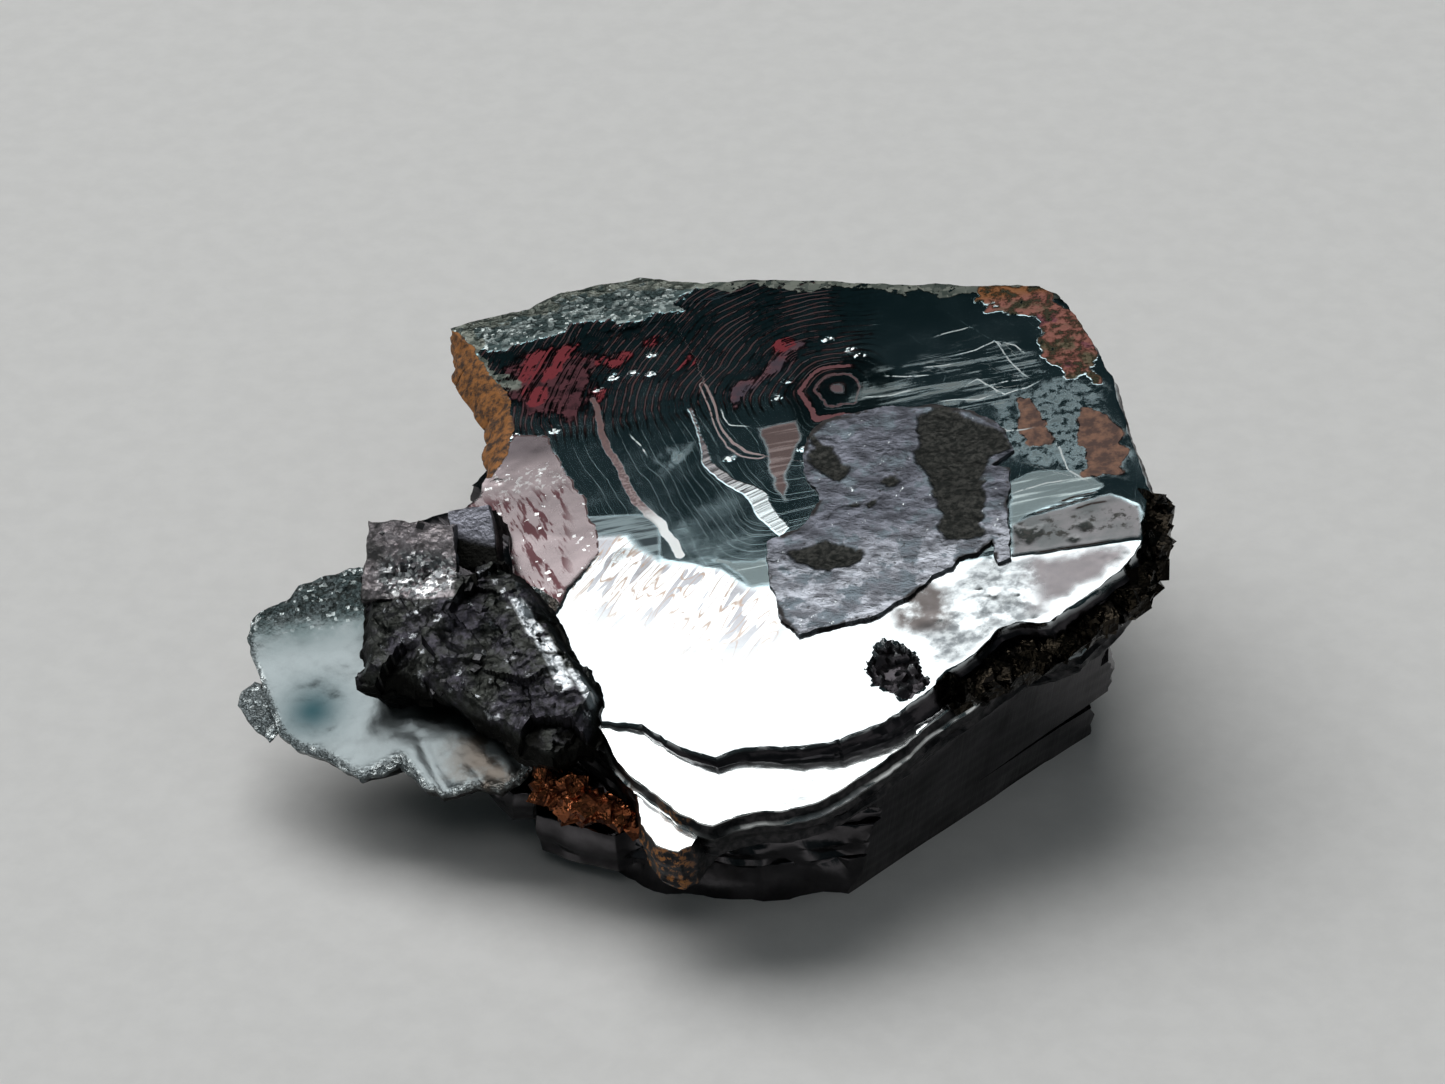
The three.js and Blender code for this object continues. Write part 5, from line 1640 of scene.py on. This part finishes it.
def build_keel():
    sizes, _ = settings()
    spacing = 1.3 * in_mm(sizes.plate_mesh)
    pivot = np.array(KEEL_PIVOT)
    meshes = []
    for i, (top, thickness, size, turn, forward, left) in enumerate(KEEL_PLATES):
        angle = math.radians(turn)
        spin = np.array([[math.cos(angle), -math.sin(angle)], [math.sin(angle), math.cos(angle)]])
        outline = (np.array(KEEL_OUTLINE) - pivot) * size @ spin.T
        meshes.append(new_mesh("keel", plate(
            outline, plane((*KEEL_PIVOT, top), forward, left), keel_relief(200 + 10 * i),
            side_rings(thickness, bevel=0.12, count=8), spacing, chips=0.12, sway=0.1, seed=20 + i)))
    for i, (at, radius, thickness, stretch, turn, forward, left) in enumerate(HEX_PLATES):
        angles = np.radians(60 * np.arange(6) + turn)
        outline = np.column_stack([radius * np.cos(angles), stretch * radius * np.sin(angles)])
        matrix = plane(at, forward, left)
        matrix[:3, 3] += matrix[:3, 2] * thickness / 2
        meshes.append(new_mesh("hex", plate(
            outline, matrix, keel_relief(300 + 10 * i), side_rings(thickness, count=6, shrink=0.97),
            spacing * 0.85, chips=0.07, sway=0.06, seed=40 + i)))
    mesh = combined("keel", meshes[0], meshes[1:])

    # the large facet is cut off all of them
    turn = Matrix.Rotation(math.radians(KEEL_FACET["turn"]), 3, "Z")
    lean = Matrix.Rotation(math.radians(KEEL_FACET["lean"]), 3, "Y")
    out = np.array(turn @ lean @ Vector((1, 0, 0)))
    up = np.array(turn @ lean @ Vector((0, 0, 1)))
    cut = np.eye(4)
    cut[:3, 0] = np.cross(up, -out)
    cut[:3, 1] = up
    cut[:3, 2] = -out
    cut[:3, 3] = KEEL_FACET["at"]
    cutter = [(-14, -3), (14, -3), (14, 9), (-14, 9)]
    facet = plate(cutter, cut, facet_relief, [(8, 0, 1)], spacing=0.16, chips=0, sway=0, seed=60)
    mesh = above_ground(combined("keel", mesh, [new_mesh("facet", facet)], "DIFFERENCE"))
    place("keel", mesh, keel_material(), sharp=35)


def build_wing():
    sizes, _ = settings()
    spacing = 0.55 * in_mm(sizes.plate_mesh)
    rings = [(0.02, 0.01, 1), (0.12, 0.02, 1), (0.25, -0.02, 1), (WING_EDGE, -0.1, 1),
             (WING_EDGE + 0.2, -0.15, 0.96), (WING_EDGE + 0.4, -0.1, 0.9), (1.5, 0, 0.75),
             (2.2, 0, 0.6)]
    body = plate(WING_OUTLINE, WING_PLANE, wing_relief, rings, spacing, chips=0.09, sway=0.05, seed=8)

    def chip_relief(u, v):
        return -0.3 + 0.03 * rugged(spots(u, v), 0.6, seed=109, octaves=3)

    chip = plate(WING_CHIP, WING_PLANE, chip_relief, [(0.05, 0.02, 1), (0.25, 0, 1), (0.45, -0.1, 1)],
                 spacing, chips=0.08, sway=0.03, seed=9)
    mesh = above_ground(combined("wing_plate", new_mesh("wing", body), [new_mesh("chip", chip)]))
    u, v, w = in_plane(vertices_of(mesh), WING_PLANE).T
    reach = np.hypot(u - DIMPLE[0], v - DIMPLE[1])
    depth = np.maximum(inside(u, v, WING_OUTLINE), 0)
    # below is where the sides and underside get painted shade
    below = smooth(np.where(depth > 0.02, wing_relief(u, v), -0.3) - w, 0.08, 0.16)
    record(mesh, "spot", u, v, w)
    record(mesh, "places", np.exp(-(reach / 1.05) ** 2), below, smooth(0.2 - depth, -0.05, 0.1))
    place("wing_plate", mesh, wing_material(), sharp=45)


def build_block():
    sizes, _ = settings()
    spacing = 0.34 * in_mm(sizes.plate_mesh)
    rings = [(0.15, 0.05, 1), (0.35, 0.06, 1), (0.55, 0.0, 1), (0.75, -0.05, 0.94),
             (1.1, -0.05, 0.88), (1.6, 0, 0.84), (2.3, 0, 0.75)]
    rim_plane = WING_PLANE.copy()
    rim_plane[:3, 3] += BLOCK_RISE * WING_PLANE[:3, 2]
    body = plate(BLOCK_OUTLINE, rim_plane, block_relief, rings, spacing, chips=0.14, sway=0.14, seed=11)
    cube_plane = plane(**CUBE)
    cube = plate(rectangle(1.35, 1.2), cube_plane, cube_relief, side_rings(2, bevel=0.02),
                 spacing=0.07, chips=0.08, sway=0.09, seed=12)
    facet_plane = plane(**STRIATED)
    facet = plate(rectangle(0.65, 0.95), facet_plane, striated_relief, side_rings(2.6, bevel=0.02),
                  spacing=0.07, chips=0.06, sway=0.05, seed=13)
    mesh = above_ground(combined("granular_block", new_mesh("block", body),
                                 [new_mesh("cube", cube), new_mesh("striated", facet)]))
    ground = mesh.copy()
    points = vertices_of(mesh)
    u, v, w = in_plane(points, WING_PLANE).T

    def top_of(matrix, half_u, half_v):
        a, b, c = in_plane(points, matrix).T
        within = smooth(half_u - np.abs(a), 0, 0.06) * smooth(half_v - np.abs(b), 0, 0.06)
        return within * smooth(c, -0.9, -0.7)

    cube_u, cube_v, _ = in_plane(points, cube_plane).T
    hollow = np.exp(-((cube_u - 0.3) ** 2 / 1.3 + (cube_v + 0.5) ** 2 / 0.5))
    on_cube = top_of(cube_plane, 1.45, 1.3)
    on_facet = top_of(facet_plane, 0.72, 1.0) * (1 - on_cube)
    glint = np.max([smooth(inside(u, v, outline), -0.05, 0.05) for outline in GLINTS], axis=0)
    # under is where the undercut sides get painted shade
    under = smooth(1.32 + 0.12 * noise(spots(u, v), 0.8, seed=117) - w, -0.08, 0.08) * (1 - on_cube)
    record(mesh, "spot", u, v, w)
    record(mesh, "places", under, glint * smooth(w, 1.3, 1.5), smooth(hollow, 0.15, 0.45) * on_cube)
    record(mesh, "crystals", on_cube, on_facet, 0)
    material = block_material()
    place("granular_block", mesh, material, sharp=32)
    grow_block_grains(ground, material)


def grow_block_grains(ground, material):
    """Small crystals here and there on the block."""
    sizes, _ = settings()
    u, v, w = in_plane(vertices_of(ground), WING_PLANE).T
    amount = smooth(w, 1.35, 1.6) * smooth(noise(spots(u, v, w), 0.9, seed=151), 0.1, 0.6)
    grains = strewn_over("block_grains", ground, 0.5 * amount, material, Spacing=0.5 * sizes.grain,
                         Smallest=0.15 * sizes.grain, Largest=0.5 * sizes.grain, Flatness=0.62,
                         Lean=0.5, Seed=sizes.seed)
    u, v, w = in_plane(vertices_of(grains), WING_PLANE).T
    record(grains, "spot", u, v, w)
    record(grains, "places", 0 * u, 0, 0)
    record(grains, "crystals", 0 * u, 0, 1)
    place("block_grains", grains, material)


def build_edge_crystals():
    """Small crystals on the right tip, along the right edge, and rusty ones under the front."""
    sizes, _ = settings()
    edge_path = [(7, 1.9, -1.0), (9.2, 3.2, -1.1), (11, 3.9, -1.1), (12.6, 5.3, -1.1),
                 (13.4, 6.4, -0.9), (13.7, 7.6, -0.7), (13.7, 8.8, -0.6)]
    rust_path = [(-5.4, -10.7, 3.7), (-4.4, -11.4, 3.5), (-3.2, -11.8, 3.4), (-2.2, -11.9, 3.3)]
    dark = granular_material("edge_crystals", (0.004, 0.0035, 0.003), (0.026, 0.021, 0.015), 0.05)
    rusty = granular_material("rusty_crystals", (0.03, 0.012, 0.008), (0.34, 0.11, 0.045), 0.36)
    for name, path, matrix, thick, material, seed in (
            ("edge_crystals", edge_path, FACE_PLANE, 0.34, dark, 1),
            ("rusty_crystals", rust_path, np.eye(4), 0.36, rusty, 2)):
        ground = new_mesh(name, rope(in_scene(np.array(path, float), matrix), thick * MM))
        amount = np.ones(len(ground.vertices))
        lumps = ground.copy()
        mesh = strewn_over(name, ground, amount, material, Spacing=0.36 * sizes.grain,
                           Smallest=0.35 * sizes.grain, Largest=1.15 * sizes.grain, Flatness=0.75,
                           Lean=0.9, Seed=sizes.seed + seed)
        place(name, mesh, material)
        place(name + "_root", lumps, material)


# ------------------------------------------------------------------ stage

# in millimetres and degrees
FLOOR_HALF = 600
CAMERA_DISTANCE = 131
CAMERA_ELEVATION = 35
CAMERA_FIELD = 20
CAMERA_AIM_HEIGHT = 5
CAMERA_SENSOR = 36


def direction(azimuth, elevation):
    """The way to a point of the room, its azimuth 0 at the back and 90 at the left."""
    around = math.radians(azimuth)
    flat = math.cos(math.radians(elevation))
    return Vector((-math.sin(around) * flat, math.cos(around) * flat,
                   math.sin(math.radians(elevation))))


def soft_box(name, left_end, right_end, height, stretch, distance, brightness):
    """A rectangular light whose lower edge runs through two directions, stretched past both."""
    left = direction(*left_end) * distance
    right = direction(*right_end) * distance
    along = (right - left).normalized()
    foot = (left + right) / 2
    facing = foot - foot.dot(along) * along
    up = along.cross(facing).normalized()
    tilted = Matrix.Rotation(math.atan2(height / 2, distance), 3, along)
    up = tilted @ up
    centre = foot + up * height / 2
    data = bpy.data.lights.new(name, "AREA")
    data.shape = "RECTANGLE"
    data.size = stretch
    data.size_y = height
    data.energy = brightness * math.pi * stretch * height
    lamp = bpy.data.objects.new(name, data)
    turned = Matrix((-along, up, up.cross(along))).transposed()
    lamp.matrix_world = Matrix.Translation(centre) @ turned.to_4x4()
    bpy.context.scene.collection.objects.link(lamp)


def build_stage():
    half = FLOOR_HALF * MM
    mesh = bpy.data.meshes.new("floor")
    mesh.from_pydata([(u, v, 0) for u, v in rectangle(half, half)], [], [(0, 1, 2, 3)])
    mesh.materials.append(floor_material())
    floor = bpy.data.objects.new("floor", mesh)
    bpy.context.scene.collection.objects.link(floor)

    soft_box("softbox", (21.4, 43.3), (15.0, 46.0), height=1.1, stretch=1.6, distance=1.5,
             brightness=3.2)
    soft_box("fill", (-150, 40), (-110, 40), height=0.5, stretch=0.5, distance=1.5, brightness=0.5)
    soft_box("front_fill", (195, 48), (165, 48), height=0.5, stretch=0.7, distance=1.5, brightness=1.1)

    world = bpy.data.worlds.new("dim_room")
    world.use_nodes = True
    wires = Wires(world.node_tree)
    world.node_tree.nodes["Background"].inputs["Strength"].default_value = 1.0
    _, behind, height = wires.parts(wires.add("ShaderNodeTexCoord").outputs["Generated"])
    room = wires.blend(wires.between(height, 0.0, 0.9), (0.012, 0.03, 0.034), (0.10, 0.11, 0.115))
    room = wires.blend(wires.between(behind, 0.1, 0.5), room, (0.02, 0.033, 0.036))
    wires.feed(world.node_tree.nodes["Background"].inputs["Color"], room)
    bpy.context.scene.world = world

    distance = CAMERA_DISTANCE * MM
    elevation = math.radians(CAMERA_ELEVATION)
    target = Vector((-MIDDLE[0], -MIDDLE[1], CAMERA_AIM_HEIGHT)) * MM
    camera = bpy.data.objects.new("camera", bpy.data.cameras.new("camera"))
    camera.data.sensor_width = CAMERA_SENSOR
    camera.data.lens = CAMERA_SENSOR / 2 / math.tan(math.radians(CAMERA_FIELD / 2))
    camera.data.clip_start = 0.005
    camera.data.clip_end = 10
    away = Vector((0, -math.cos(elevation), math.sin(elevation)))
    camera.location = target + away * distance
    camera.rotation_euler = away.to_track_quat("Z", "Y").to_euler()
    bpy.context.scene.collection.objects.link(camera)
    bpy.context.scene.camera = camera
    bpy.context.scene.view_settings.view_transform = "Standard"


# ------------------------------------------------------------------ operators and panel

class ROSE_OT_stage(bpy.types.Operator):
    """Adds the floor, the lights and the camera"""
    bl_idname = "rose.stage"
    bl_label = "Stage"
    bl_options = {"REGISTER", "UNDO"}

    def execute(self, context):
        build_stage()
        return {"FINISHED"}


class ROSE_OT_big_crystal(bpy.types.Operator):
    """Builds the big mirror-bright crystal"""
    bl_idname = "rose.big_crystal"
    bl_label = "Big crystal"
    bl_options = {"REGISTER", "UNDO"}

    def execute(self, context):
        build_big_crystal()
        return {"FINISHED"}


class ROSE_OT_later_film(bpy.types.Operator):
    """Builds the dull film on the big face"""
    bl_idname = "rose.later_film"
    bl_label = "Later film"
    bl_options = {"REGISTER", "UNDO"}

    def execute(self, context):
        build_film()
        return {"FINISHED"}


class ROSE_OT_lower_plates(bpy.types.Operator):
    """Builds the two plates under the big face"""
    bl_idname = "rose.lower_plates"
    bl_label = "Lower plates"
    bl_options = {"REGISTER", "UNDO"}

    def execute(self, context):
        build_lower_plates()
        return {"FINISHED"}


class ROSE_OT_keel(bpy.types.Operator):
    """Builds the stack of plates underneath"""
    bl_idname = "rose.keel"
    bl_label = "Keel"
    bl_options = {"REGISTER", "UNDO"}

    def execute(self, context):
        build_keel()
        return {"FINISHED"}


class ROSE_OT_wing(bpy.types.Operator):
    """Builds the silvery plate on the left"""
    bl_idname = "rose.wing"
    bl_label = "Wing"
    bl_options = {"REGISTER", "UNDO"}

    def execute(self, context):
        build_wing()
        return {"FINISHED"}


class ROSE_OT_granular_block(bpy.types.Operator):
    """Builds the dark block and its grains"""
    bl_idname = "rose.granular_block"
    bl_label = "Granular block"
    bl_options = {"REGISTER", "UNDO"}

    def execute(self, context):
        build_block()
        return {"FINISHED"}


class ROSE_OT_edge_crystals(bpy.types.Operator):
    """Grows the small crystals of the edges"""
    bl_idname = "rose.edge_crystals"
    bl_label = "Edge crystals"
    bl_options = {"REGISTER", "UNDO"}

    def execute(self, context):
        build_edge_crystals()
        return {"FINISHED"}


OPERATORS = [ROSE_OT_stage, ROSE_OT_big_crystal, ROSE_OT_later_film, ROSE_OT_lower_plates,
             ROSE_OT_keel, ROSE_OT_wing, ROSE_OT_granular_block, ROSE_OT_edge_crystals]


class VIEW3D_PT_hematite_rose(bpy.types.Panel):
    """Sizes, colours and pieces of the rose"""
    bl_label = "Hematite Rose"
    bl_space_type = "VIEW_3D"
    bl_region_type = "UI"
    bl_category = "Hematite Rose"

    def draw(self, context):
        for group in settings():
            for name in group.bl_rna.properties.keys():
                if name not in ("rna_type", "name"):
                    self.layout.prop(group, name)
        for each in OPERATORS:
            self.layout.operator(each.bl_idname)


CLASSES = [RoseSizes, RoseColours, *OPERATORS, VIEW3D_PT_hematite_rose]


def register():
    for each in CLASSES:
        bpy.utils.register_class(each)
    bpy.types.Scene.rose_sizes = bpy.props.PointerProperty(type=RoseSizes)
    bpy.types.Scene.rose_colours = bpy.props.PointerProperty(type=RoseColours)


def unregister():
    del bpy.types.Scene.rose_colours
    del bpy.types.Scene.rose_sizes
    for each in reversed(CLASSES):
        bpy.utils.unregister_class(each)


def main():
    register()
    bpy.ops.rose.stage()
    bpy.ops.rose.big_crystal()
    bpy.ops.rose.later_film()
    bpy.ops.rose.lower_plates()
    bpy.ops.rose.keel()
    bpy.ops.rose.wing()
    bpy.ops.rose.granular_block()
    bpy.ops.rose.edge_crystals()


if __name__ == "__main__":
    main()
